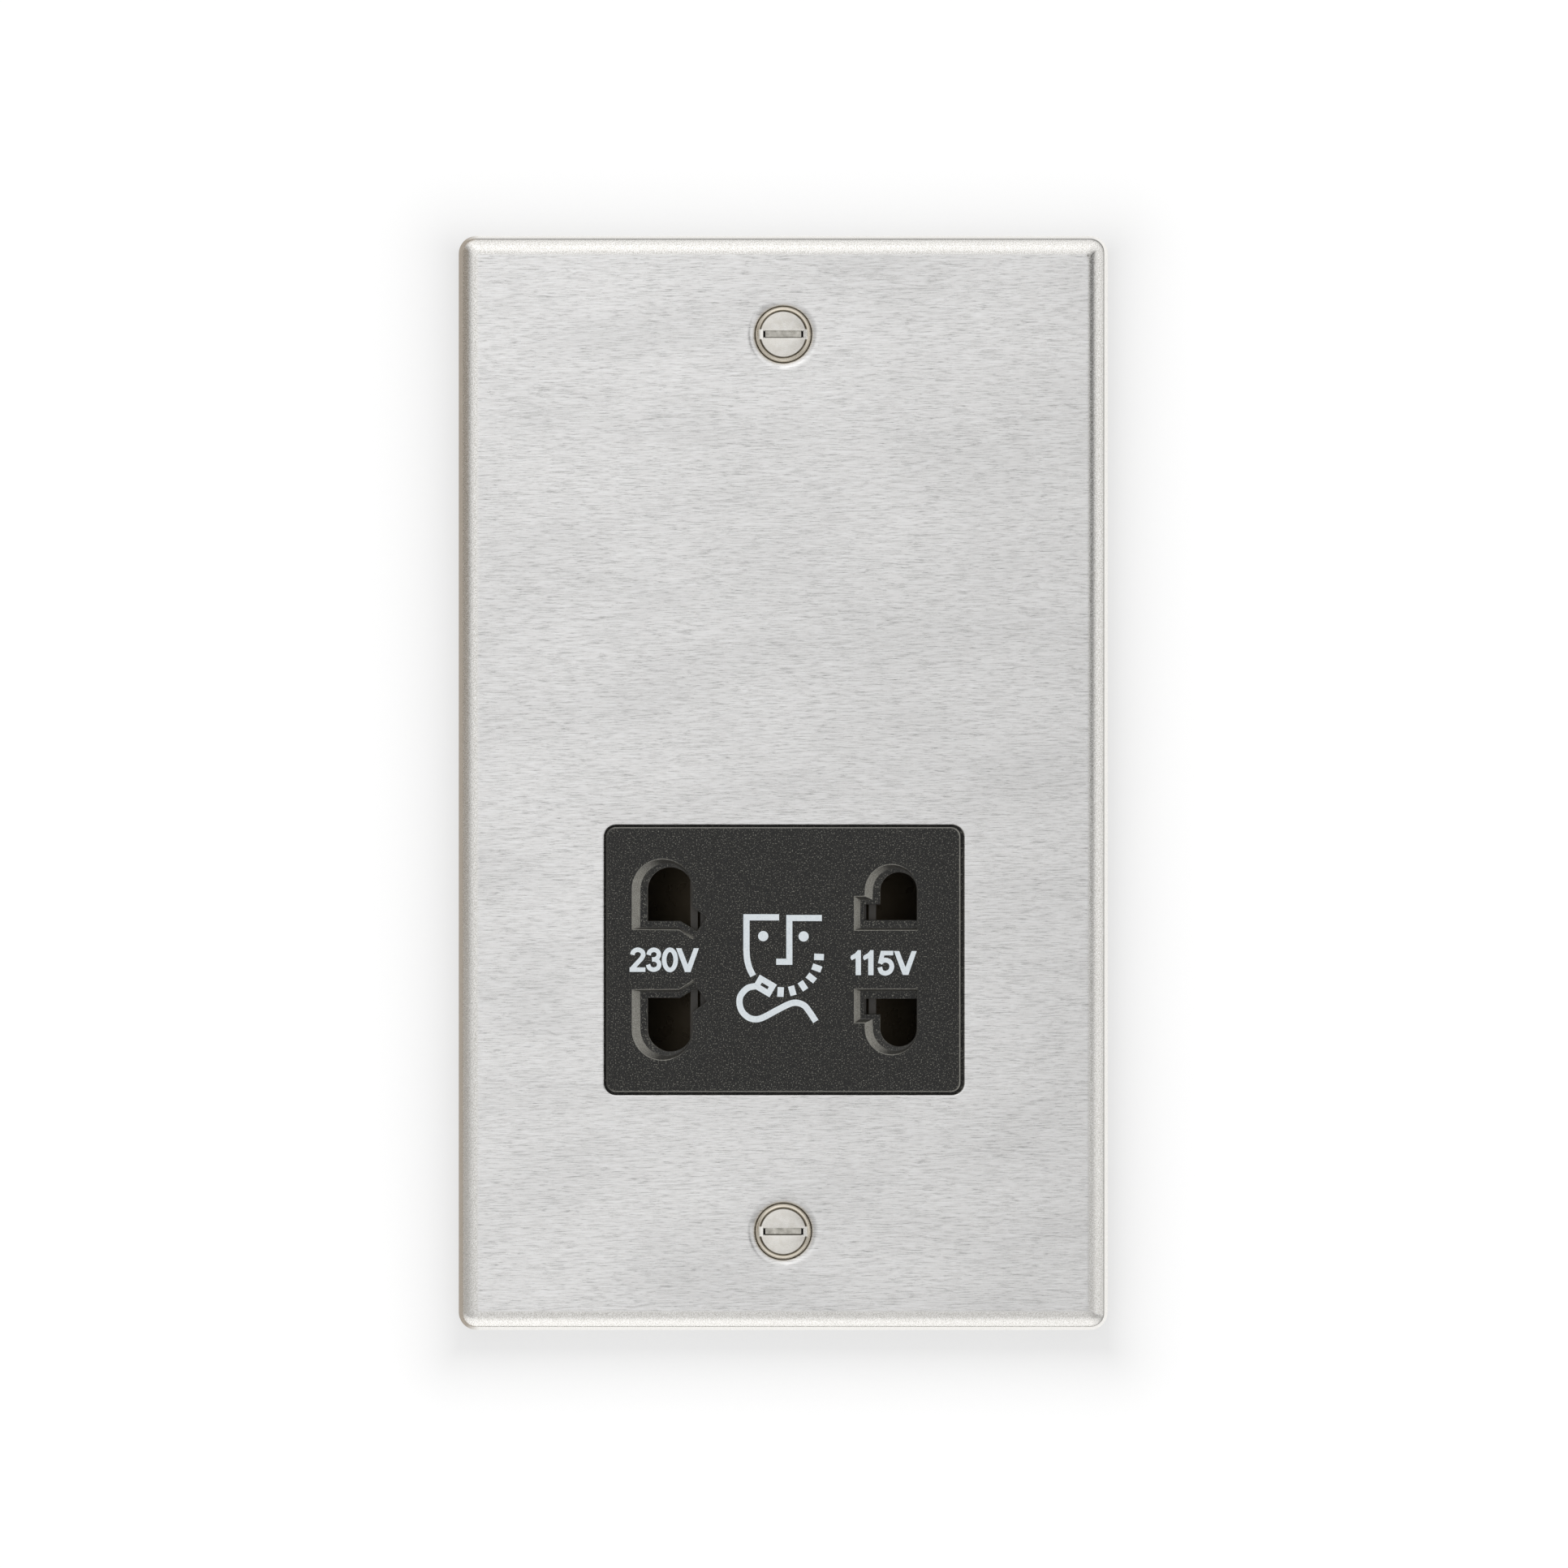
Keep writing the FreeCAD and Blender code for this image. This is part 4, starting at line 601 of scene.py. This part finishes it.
def moulded_face():
    front, back, sheet = FACE_FRONT / MM, FACE_HIGH.y / MM, SHEET_BACK
    middle = (0.0, (FACE_LOW.z + FACE_HIGH.z) / 2 / MM)
    half_width, half_height = 23.81, 17.82
    flange = (FACE_HIGH.x / MM, (FACE_HIGH.z - FACE_LOW.z) / 2 / MM)
    edge = [(front, -0.25), (front + 0.06, -0.13), (front + 0.12, -0.05), (front + 0.2, 0.0), (sheet, 0.0)]
    shape = bmesh.new()
    sections = [(depth, round_rect(half_width + out, half_height + out, 1.3 + out, middle)) for depth, out in edge]
    for depth, inset in ((sheet, 0.2), (sheet + 0.2, 0.0), (back, 0.0)):
        sections.append((depth, round_rect(flange[0] - inset, flange[1] - inset, 1.3, middle)))
    rim = sleeve(shape, sections)
    fronts, backs = [rim[0]], [rim[1]]
    for side in (1, -1):
        for mouth, ledge, throat in (SLOT_230, SLOT_115):
            rings = [(front, mouth, 0.1), (front + 0.04, mouth, 0.03), (front + 0.1, mouth, -0.03),
                     (front + 0.9, ledge, 0.05), (front + 0.98, ledge, -0.02), (front + 1.02, ledge, -0.1),
                     (front + 1.14, throat, 0.07), (front + 1.17, throat, 0.02), (front + 1.25, throat, 0.0),
                     (back, throat, 0.0)]
            slot = sleeve(shape, [(depth, slot_loop(corners, side, out)) for depth, corners, out in rings])
            fronts.append(slot[0])
            backs.append(slot[1])
    fill(shape, fronts)
    fill(shape, backs)
    piece = finished(shape, "socket_face_moulded", FACE, replaced=("socket_face",), crease=40.0)
    piece.modifiers.new("even_normals", "WEIGHTED_NORMAL").keep_sharp = True


# Fixing screws: raised countersunk heads with one slot, in the dished seats of the plate

HEAD_PROFILE = [
    (0.0, -4.85), (2.98, -4.85), (3.06, -4.83), (3.1, -4.76), (3.12, -4.63), (3.16, -4.6), (3.22, -4.64),
    (3.3, -4.66), (3.4, -4.62), (3.51, -4.53), (3.61, -4.42), (3.7, -4.28), (3.75, -4.13), (3.68, -4.04),
    (1.8, -2.28), (1.5, -2.05), (1.45, 20.05), (0.9, 20.75), (0.0, 20.75),
]
SLOT_HALF_WIDTH = 0.5
SLOT_DEPTH = 0.75
THREAD_PITCH = 0.6
THREAD_START = 1.0
THREAD_END = 20.05


def fixing_screw(node):
    """A screw with a flat disc inside a rounded rim. The slot stops short of the rim, where
    it ends in a narrow pit and a shallow run-out."""
    low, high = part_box(node)
    centre = Vector(((low.x + high.x) / 2, 0.0, (low.z + high.z) / 2))
    crown = HEAD_PROFILE[0][1]

    def cut_box(left, right, depth, half_width):
        return boxed((centre.x + left * MM, (crown - 1.0) * MM, centre.z - half_width * MM),
                     (centre.x + right * MM, (crown + depth) * MM, centre.z + half_width * MM))

    shape = turned(HEAD_PROFILE, centre)
    shape = carved(shape, [cut_box(-SLOT_REACH, SLOT_REACH, SLOT_DEPTH, SLOT_HALF_WIDTH)])
    for side in (-1, 1):
        pit = sorted((side * (SLOT_REACH - 0.08), side * (SLOT_REACH + 0.19)))
        runout = cut_box(*sorted((side * (SLOT_REACH + 0.1), side * 3.2)), 0.1, SLOT_HALF_WIDTH)
        for corner in runout.verts:
            across = (corner.co.x - centre.x) / MM * side
            if corner.co.y > crown * MM and across > 3.0:
                corner.co.y += 0.1 * MM
            if across > 3.0:
                corner.co.z += 0.22 * MM if corner.co.z > centre.z else -0.22 * MM
        shape = carved(shape, [cut_box(*pit, SLOT_DEPTH + 0.9, SLOT_HALF_WIDTH * 0.86), runout])
    lips = []
    for edge in shape.edges:
        middle = (edge.verts[0].co + edge.verts[1].co) / 2
        along_slot = abs(abs(middle.z - centre.z) - SLOT_HALF_WIDTH * MM) < 0.01 * MM
        if along_slot and middle.y < (crown + 0.05) * MM and edge.calc_face_angle(0) > math.radians(30):
            lips.append(edge)
    bmesh.ops.bevel(shape, geom=lips, offset=0.06 * MM, affect="EDGES", segments=2, profile=0.5,
                    material=-1, clamp_overlap=True)
    section = [centre + Vector((radius, depth, 0)) * MM
               for radius, depth in ((1.4, THREAD_START), (1.74, THREAD_START + 0.3), (1.4, THREAD_START + 0.58))]
    coil(shape, section, centre, (0, 1, 0), THREAD_PITCH * MM,
         (THREAD_END - THREAD_START) / THREAD_PITCH - 1, 24)
    return finished(shape, node + "_turned", NICKEL, replaced=(node,), crease=32.0)


# Markings, printed on the face, in millimetres to the right of the plate's middle and above it

INK_SHEET = 0.02
INK_STEP = 0.006
STROKE = 0.84


def flat_prism(shape, outline, lift=0):
    """Adds a thin plate of ink with an outline. A higher lift lies over the strokes it crosses."""
    front = FACE_FRONT - (INK_SHEET + INK_STEP * lift) * MM
    corners = [shape.verts.new((across * MM, front, level * MM)) for across, level in outline]
    face = shape.faces.new(corners)
    raised = bmesh.ops.extrude_face_region(shape, geom=[face])["geom"]
    moved = [item for item in raised if isinstance(item, bmesh.types.BMVert)]
    for corner in moved:
        corner.co.y = FACE_FRONT


def stroke(shape, points, width=STROKE, lift=0, closed=False):
    """Adds a stroke of even width along a line, with mitred corners and square ends."""
    line = [Vector(point) for point in points]
    front = FACE_FRONT - (INK_SHEET + INK_STEP * lift) * MM
    rings = []
    for point, way in zip(line, mitred(line, closed)):
        left, right = point + way * width / 2, point - way * width / 2
        spots = ((left, front), (right, front), (right, FACE_FRONT), (left, FACE_FRONT))
        rings.append([shape.verts.new((spot.x * MM, depth, spot.y * MM)) for spot, depth in spots])
    pairs = list(zip(rings, rings[1:])) + ([(rings[-1], rings[0])] if closed else [])
    for first, second in pairs:
        for place in range(4):
            after = (place + 1) % 4
            shape.faces.new((first[place], first[after], second[after], second[place]))
    if not closed:
        shape.faces.new(rings[0])
        shape.faces.new(rings[-1])


def smooth(points, steps=5):
    """A smooth line through chosen points."""
    knots = [Vector(point) for point in points]
    ends = [knots[0] * 2 - knots[1]] + knots + [knots[-1] * 2 - knots[-2]]
    line = []
    for first, second, third, fourth in zip(ends, ends[1:], ends[2:], ends[3:]):
        for step in range(steps):
            t = step / steps
            line.append((second * 2 + (third - first) * t
                         + (first * 2 - second * 5 + third * 4 - fourth) * t * t
                         + (second * 3 - first - third * 3 + fourth) * t * t * t) / 2)
    return [tuple(point) for point in line] + [tuple(knots[-1])]


def oval(middle, half_width, half_height, count=28):
    """The corners of an ellipse."""
    return [(middle[0] + half_width * math.cos(math.tau * place / count),
             middle[1] + half_height * math.sin(math.tau * place / count)) for place in range(count)]


def printed(shape, name):
    return finished(shape, name, INK)


def shaver_figure():
    """The usual sign of a shaver socket: a plain head with a shaver at its chin."""
    head = bmesh.new()
    cheek = smooth([(-4.951, -22.43), (-4.859, -23.66), (-4.552, -24.885), (-4.045, -25.93)])
    stroke(head, [(-0.563, -18.066), (-4.945, -18.066)] + cheek)
    stroke(head, [(5.189, -18.16), (0.817, -18.16), (0.817, -24.04), (-0.947, -24.04)], 0.82)
    for eye in ((-2.696, -20.59), (2.735, -20.636)):
        flat_prism(head, oval(eye, 0.69, 0.69))
    printed(head, "printed_head")
    whiskers = bmesh.new()
    for angle in (2.3, 20.0, 38.0, 56.0, 74.5, 93.0):
        ray = Vector((math.cos(math.radians(angle)), -math.sin(math.radians(angle))))
        chin = Vector((-0.103, -23.198))
        stroke(whiskers, [chin + ray * 4.26, chin + ray * 5.56], 0.85)
    printed(whiskers, "printed_whiskers")
    tool = bmesh.new()
    fall = math.radians(30.4)
    along = Vector((math.cos(fall), -math.sin(fall)))
    upward = Vector((math.sin(fall), math.cos(fall)))
    middle = Vector((-2.504, -27.293))
    corners = [middle + along * across + upward * level
               for across, level in ((-0.943, -0.593), (0.943, -0.593), (0.943, 0.593), (-0.943, 0.593))]
    stroke(tool, corners, 0.785, lift=1, closed=True)
    stroke(tool, smooth([(-3.708, -27.309), (-4.782, -27.57), (-5.672, -28.49), (-5.886, -29.487),
                         (-5.579, -30.638), (-4.705, -31.512), (-3.662, -31.773), (-2.604, -31.481),
                         (-0.947, -30.591), (0.741, -29.748), (1.784, -29.548), (2.812, -29.917),
                         (3.533, -30.791), (4.376, -32.064)]))
    printed(tool, "printed_shaver")


# Plain figures, drawn in millimetres from their lower left corners

def draw_one(shape, left, base):
    outline = [(0.71, 0.0), (1.42, 0.0), (1.42, 3.36), (1.0, 3.36), (0.66, 2.95), (0.08, 2.62),
               (0.0, 2.3), (0.18, 2.0), (0.71, 2.27)]
    flat_prism(shape, [(left + across, base + level) for across, level in outline])


def draw_v(shape, left, base):
    outline = [(0.0, 3.18), (0.72, 3.18), (1.56, 1.0), (2.38, 3.18), (3.06, 3.18), (1.94, -0.03), (1.19, -0.03)]
    flat_prism(shape, [(left + across, base + level) for across, level in outline])


def draw_two(shape, left, base):
    bow = smooth([(0.37, 2.3), (0.52, 2.72), (1.07, 2.98), (1.66, 2.76), (1.83, 2.3), (1.6, 1.8)])
    run = [(0.9, 1.05), (0.21, 0.27)]
    stroke(shape, [(left + across, base + level) for across, level in bow + run], 0.61)
    stroke(shape, [(left, base + 0.3), (left + 2.12, base + 0.3)], 0.6, lift=1)


def draw_three(shape, left, base):
    upper = smooth([(0.36, 2.27), (0.52, 2.72), (1.04, 2.97), (1.58, 2.77), (1.74, 2.33), (1.56, 1.9), (1.25, 1.69)])
    lower = smooth([(0.81, 1.66), (1.2, 1.66), (1.62, 1.42), (1.78, 0.97), (1.58, 0.5), (1.04, 0.3), (0.5, 0.5),
                    (0.28, 0.98)])
    stroke(shape, [(left + across, base + level) for across, level in upper], 0.6)
    stroke(shape, [(left + across, base + level) for across, level in lower], 0.6, lift=1)


def draw_five(shape, left, base):
    stroke(shape, [(left + 2.17, base + 3.03), (left + 0.74, base + 3.03), (left + 0.4, base + 1.6)], 0.6)
    bow = smooth([(0.4, 1.7), (0.75, 1.98), (1.18, 2.08), (1.74, 1.83), (1.98, 1.22), (1.72, 0.58), (1.13, 0.32),
                  (0.58, 0.52), (0.35, 1.12)])
    stroke(shape, [(left + across, base + level) for across, level in bow], 0.64, lift=1)


def draw_nought(shape, left, base):
    stroke(shape, oval((left + 1.08, base + 1.62), 0.775, 1.36), 0.61, closed=True)


def figures():
    """The voltage beside each pair of slots."""
    left = bmesh.new()
    draw_two(left, -20.65, -25.4)
    draw_three(left, -18.46, -25.4)
    draw_nought(left, -16.31, -25.4)
    draw_v(left, -14.4, -25.4)
    printed(left, "printed_230")
    right = bmesh.new()
    draw_one(right, 9.02, -25.84)
    draw_one(right, 10.71, -25.84)
    draw_five(right, 12.61, -25.9)
    draw_v(right, 14.87, -25.78)
    printed(right, "printed_115")


# Springs that bring the shutter back to the middle

def centring_spring(node, turns=15):
    low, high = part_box(node)
    middle = (low + high) / 2
    wire = 0.2 * MM
    radius = (high.y - low.y) / 2 - wire
    length = high.x - low.x - wire * 2
    section = []
    for place in range(8):
        angle = math.tau * place / 8
        section.append(Vector((low.x + wire + wire * math.cos(angle), middle.y + radius + wire * math.sin(angle),
                               middle.z)))
    shape = bmesh.new()
    coil(shape, section, Vector((0, middle.y, middle.z)), (1, 0, 0), length / turns, turns, 24)
    piece = finished(shape, node + "_coil", SPRING, body=None, replaced=(node,))
    if middle.x < 0:
        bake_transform(piece)
    else:
        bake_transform(piece)
    return piece


# Pan-head screws of the terminal block, with a cross recess

def cross_screws(node):
    """Turned pan heads in place of the plain ones, one for each screw of the node."""
    low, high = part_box(node)
    head = 2.3
    shape = bmesh.new()
    for across in (low.x + head * MM, high.x - head * MM):
        centre = Vector((across, 0.0, (low.z + high.z) / 2))
        back = high.y / MM
        profile = [(0.0, back), (1.0, back - 0.03), (1.6, back - 0.2), (2.05, back - 0.5), (2.3, back - 1.0),
                   (2.3, back - 1.45), (2.25, back - 1.5), (1.2, back - 1.5), (1.2, low.y / MM), (0.0, low.y / MM)]
        arms = []
        for reach, width in ((1.3, 0.3), (0.3, 1.3)):
            arms.append(boxed((across - reach * MM, high.y - 0.9 * MM, centre.z - width * MM),
                              (across + reach * MM, high.y + 1.0 * MM, centre.z + width * MM)))
        screw = carved(turned(profile, centre, 48), arms)
        mesh = bpy.data.meshes.new("screw")
        screw.to_mesh(mesh)
        screw.free()
        shape.from_mesh(mesh)
    return finished(shape, node + "_turned", ZINC, replaced=(node,))


# Pieces that keep the CAD form and get a finish

KEPT = {
    "contact_230_upper": BRONZE, "contact_230_lower": BRONZE, "contact_115_upper": BRONZE,
    "contact_115_lower": BRONZE, "switch_rail": BRONZE, "switch_fork": BRONZE, "switch_bridge": BRONZE,
    "contact_carrier": CARRIER, "carrier_screws": ZINC, "core_e_stack": CORE, "core_i_stack": CORE,
    "core_screws": ZINC, "bobbin": BOBBIN, "primary_winding": COPPER, "secondary_winding": COPPER,
    "winding_tape": TAPE, "thermal_cutout": CUTOUT, "plate_studs": ZINC, "stud_washers": ZINC,
}
for name, material in KEPT.items():
    nodes[name].data.materials.clear()
    nodes[name].data.materials.append(material)

steel_plate()
moulded_face()
softened("shutter_slide", SHUTTER, 0.12, body="shutter")
softened("rear_housing", HOUSING, 0.2)
softened("terminal_block", BLOCK, 0.15)
softened("terminal_clamps", BRASS, 0.1)
softened("terminal_screws", ZINC, 0.08)
softened("stud_nuts", ZINC, 0.12)
softened("earth_tab", ZINC, 0.08)
softened("earth_screw", BRASS, 0.12)
for screw in ("fixing_screw_upper", "fixing_screw_lower"):
    fixing_screw(screw)
shaver_figure()
figures()
for spring in ("centring_spring_left", "centring_spring_right"):
    centring_spring(spring)
cross_screws("block_screws")


# Room: a pale wall that the plate hangs on, and a floor below

WALL_HOLE = (42.4, 72.4)
WALL_GLOW = 0.80
WALL_SHADE = 0.22
WALL_FADE = 6.0
FLOOR_LEVEL = -125.0


def wall_paint():
    """Matt white paint. Light of its own shows it white to the camera and fades towards the
    plate, a painted shadow round it. Seen only in reflections, it glows dim and warm on the
    left, pale close to the plate and dark further off, a painted reflection in the plate's sides.
    From behind it is clear, so that the back of the unit can be seen."""
    material = bpy.data.materials.new("matt_white_paint")
    material.use_nodes = True
    tree = material.node_tree
    tree.nodes.clear()
    path = add(tree, "LightPath")
    places = add(tree, "SeparateXYZ", {}, {"Vector": add(tree, "TexCoord").outputs["Object"]})
    beyond = []
    for name, shift, half in (("X", 0.0, PLATE_HIGH.x), ("Z", 2.5 * MM, PLATE_HIGH.z)):
        moved = add(tree, "Math", {"operation": "ADD", 1: shift}, {0: places.outputs[name]}).outputs[0]
        reach = add(tree, "Math", {"operation": "ABSOLUTE"}, {0: moved}).outputs[0]
        past = add(tree, "Math", {"operation": "SUBTRACT", 1: half}, {0: reach}).outputs[0]
        beyond.append(add(tree, "Math", {"operation": "MAXIMUM", 1: 0.0}, {0: past}).outputs[0])
    corner = add(tree, "CombineXYZ", {}, {"X": beyond[0], "Z": beyond[1]})
    distance = add(tree, "VectorMath", {"operation": "LENGTH"}, {0: corner.outputs[0]}).outputs["Value"]
    # Painted shadow: the white glow fades towards the plate.
    steps = add(tree, "Math", {"operation": "MULTIPLY", 1: -1.0 / (WALL_FADE * MM)}, {0: distance}).outputs[0]
    near = add(tree, "Math", {"operation": "EXPONENT"}, {0: steps}).outputs[0]
    fade = add(tree, "Math", {"operation": "MULTIPLY_ADD", 1: -WALL_SHADE, 2: WALL_GLOW}, {0: near})
    seen = add(tree, "Math", {"operation": "MULTIPLY"}, {0: fade.outputs[0], 1: path.outputs["Is Camera Ray"]})
    white = add(tree, "Emission", {"Color": [1, 1, 1, 1]}, {"Strength": seen.outputs[0]})
    # Painted reflection: a tinted glow that only reflections see.
    side = span(tree, places.outputs["X"], -43.0 * MM, -41.0 * MM)
    pale = mixed(tree, span(tree, near, 0.4, 0.65), "#474644", "#ebeae8")
    tint = mixed(tree, side, "#857766", pale)
    mirrored = add(tree, "Emission", {}, {"Color": tint, "Strength": path.outputs["Is Glossy Ray"]})
    matt = add(tree, "BsdfDiffuse", {"Color": [0.3, 0.3, 0.3, 1.0]})
    lit = add(tree, "AddShader", {}, {0: white.outputs[0], 1: mirrored.outputs[0]})
    front = add(tree, "AddShader", {}, {0: matt.outputs[0], 1: lit.outputs[0]})
    clear = add(tree, "BsdfTransparent")
    behind = add(tree, "NewGeometry").outputs["Backfacing"]
    surface = add(tree, "MixShader", {}, {0: behind, 1: front.outputs[0], 2: clear.outputs[0]})
    add(tree, "OutputMaterial", {}, {"Surface": surface.outputs[0]})
    return material


def floor_paint():
    """Pale floor paint, with some light of its own so that it fills the shadows, most of it
    close to the wall, where the lower rim of the plate mirrors it."""
    material = bpy.data.materials.new("pale_floor_paint")
    material.use_nodes = True
    tree = material.node_tree
    tree.nodes.clear()
    matt = add(tree, "BsdfDiffuse", {"Color": linear("#c8c8c8")})
    places = add(tree, "SeparateXYZ", {}, {"Vector": add(tree, "TexCoord").outputs["Object"]})
    level = ramp(tree, span(tree, places.outputs["Y"], -0.4, 0.0),
                 [(0.0, 0.62), (0.5, 0.5), (0.75, 0.42), (0.86, 0.5), (0.93, 0.9), (1.0, 1.0)])
    side = ramp(tree, span(tree, places.outputs["X"], -0.4, 0.4),
                [(0.0, 0.45), (0.3, 0.6), (0.44, 1.0), (0.56, 0.9), (0.68, 0.3), (0.76, 0.35), (0.9, 0.9)])
    glow = add(tree, "Emission", {"Strength": 1.0}, {"Color": mixed(tree, 1.0, level, side, "MULTIPLY")})
    surface = add(tree, "AddShader", {}, {0: matt.outputs[0], 1: glow.outputs[0]})
    add(tree, "OutputMaterial", {}, {"Surface": surface.outputs[0]})
    return material


def room_piece(name, material, shape):
    mesh = bpy.data.meshes.new(name)
    shape.to_mesh(mesh)
    shape.free()
    mesh.materials.append(material)
    piece = bpy.data.objects.new(name, mesh)
    bpy.context.scene.collection.objects.link(piece)


def room():
    wall = bmesh.new()
    upright = Matrix.Rotation(math.pi / 2, 4, "X")
    for half_width, half_height in ((1.6, 1.6), (WALL_HOLE[0] * MM, WALL_HOLE[1] * MM)):
        frame_size = Matrix.Diagonal((half_width, 1, half_height, 1))
        turn = Matrix.Rotation(math.pi / 4, 4, "Y")
        bmesh.ops.create_circle(wall, cap_ends=False, segments=4, radius=math.sqrt(2),
                                matrix=frame_size @ turn @ upright)
    bmesh.ops.bridge_loops(wall, edges=wall.edges)
    bmesh.ops.translate(wall, verts=wall.verts, vec=(0, 0.05 * MM, 0))
    for face in wall.faces:
        face.normal_update()
        if face.normal.y > 0:
            face.normal_flip()
    room_piece("wall", wall_paint(), wall)
    floor = bmesh.new()
    bmesh.ops.create_grid(floor, x_segments=1, y_segments=1, size=4.0,
                          matrix=Matrix.Translation((0, 0, FLOOR_LEVEL * MM)))
    room_piece("floor", floor_paint(), floor)


# Light of the studio by the angle from straight ahead, to the right and upwards
SIDE_LIGHT = [
    (-90, (0.225, 0.2, 0.172)), (-68, (0.255, 0.23, 0.2)), (-58, 0.34), (-50, 0.50), (-42, 0.62), (-33, 0.69),
    (-10, 0.70), (0, 0.655), (55, 0.66), (90, 0.70),
]
DARK_BAND = [(0, 1.0), (8, 0.86), (14, 0.58), (20, 0.27), (27, 0.075), (35, 0.09), (44, 0.55), (55, 1.0)]
HEIGHT_LIGHT = [
    (-90, 0.9), (-60, 0.8), (-30, 0.70), (-15, 0.73), (0, 0.77), (15, 0.81), (40, 0.88),
    (62, 0.95), (78, 0.97), (90, 0.95),
]


def sky():
    """A pale studio round the object, dim and warm at the far left. A soft dark band stands
    to the right of the camera, which draws a line along the right bend of the plate."""
    world = bpy.data.worlds.new("studio")
    bpy.context.scene.world = world
    world.use_nodes = True
    tree = world.node_tree
    tree.nodes.clear()
    direction = add(tree, "SeparateXYZ", {}, {"Vector": add(tree, "TexCoord").outputs["Generated"]})
    layers = []
    for axis, levels in (("X", SIDE_LIGHT), ("Z", HEIGHT_LIGHT)):
        along = span(tree, direction.outputs[axis], -1.0, 1.0)
        layers.append(ramp(tree, along, [((math.sin(math.radians(angle)) + 1) / 2, level) for angle, level in levels]))
    band = ramp(tree, span(tree, direction.outputs["X"], -1.0, 1.0),
                [((math.sin(math.radians(angle)) + 1) / 2, level) for angle, level in DARK_BAND])
    height = add(tree, "Math", {"operation": "ABSOLUTE"}, {0: direction.outputs["Z"]}).outputs[0]
    band = mixed(tree, span(tree, height, 0.15, 0.4), band, "#ffffff")
    colour = mixed(tree, 1.0, mixed(tree, 1.0, *layers, "MULTIPLY"), band, "MULTIPLY")
    path = add(tree, "LightPath")
    strength = add(tree, "Math", {"operation": "MULTIPLY_ADD", 1: 0.28, 2: 1.55},
                   {0: path.outputs["Is Glossy Ray"]})
    studio = add(tree, "Background", {}, {"Color": colour, "Strength": strength.outputs[0]})
    paper = add(tree, "Background", {"Color": [1, 1, 1, 1], "Strength": 1.0})
    seen = add(tree, "MixShader", {}, {0: path.outputs["Is Camera Ray"], 1: studio.outputs[0], 2: paper.outputs[0]})
    add(tree, "OutputWorld", {}, {"Surface": seen.outputs[0]})


def softbox(name, place, size, watts):
    """A square lamp of a size in metres that faces the object."""
    lamp = bpy.data.lights.new(name, "AREA")
    lamp.shape = "SQUARE"
    lamp.size = size
    lamp.energy = watts
    holder = bpy.data.objects.new(name, lamp)
    holder.location = place
    holder.rotation_euler = (-Vector(place)).to_track_quat("-Z", "Y").to_euler()
    bpy.context.scene.collection.objects.link(holder)


def camera():
    """A long lens square to the plate, far enough to show 211 mm across at half its depth."""
    lens = bpy.data.cameras.new("camera")
    lens.lens = 250.0
    lens.sensor_width = 36.0
    lens.sensor_fit = "HORIZONTAL"
    holder = bpy.data.objects.new("camera", lens)
    view_width = 211.1 * MM
    distance = view_width * lens.lens / lens.sensor_width
    holder.location = (0.1 * MM, PLATE_FRONT / 2 - distance, -0.15 * MM)
    holder.rotation_euler = (math.pi / 2, 0, 0)
    bpy.context.scene.collection.objects.link(holder)
    bpy.context.scene.camera = holder


room()
sky()
softbox("key_lamp", (-0.3, -1.0, 1.2), 0.9, 0.6)
softbox("rear_lamp", (0.9, 1.4, 0.8), 0.9, 9.0)
camera()
bpy.context.scene.view_settings.view_transform = "Standard"
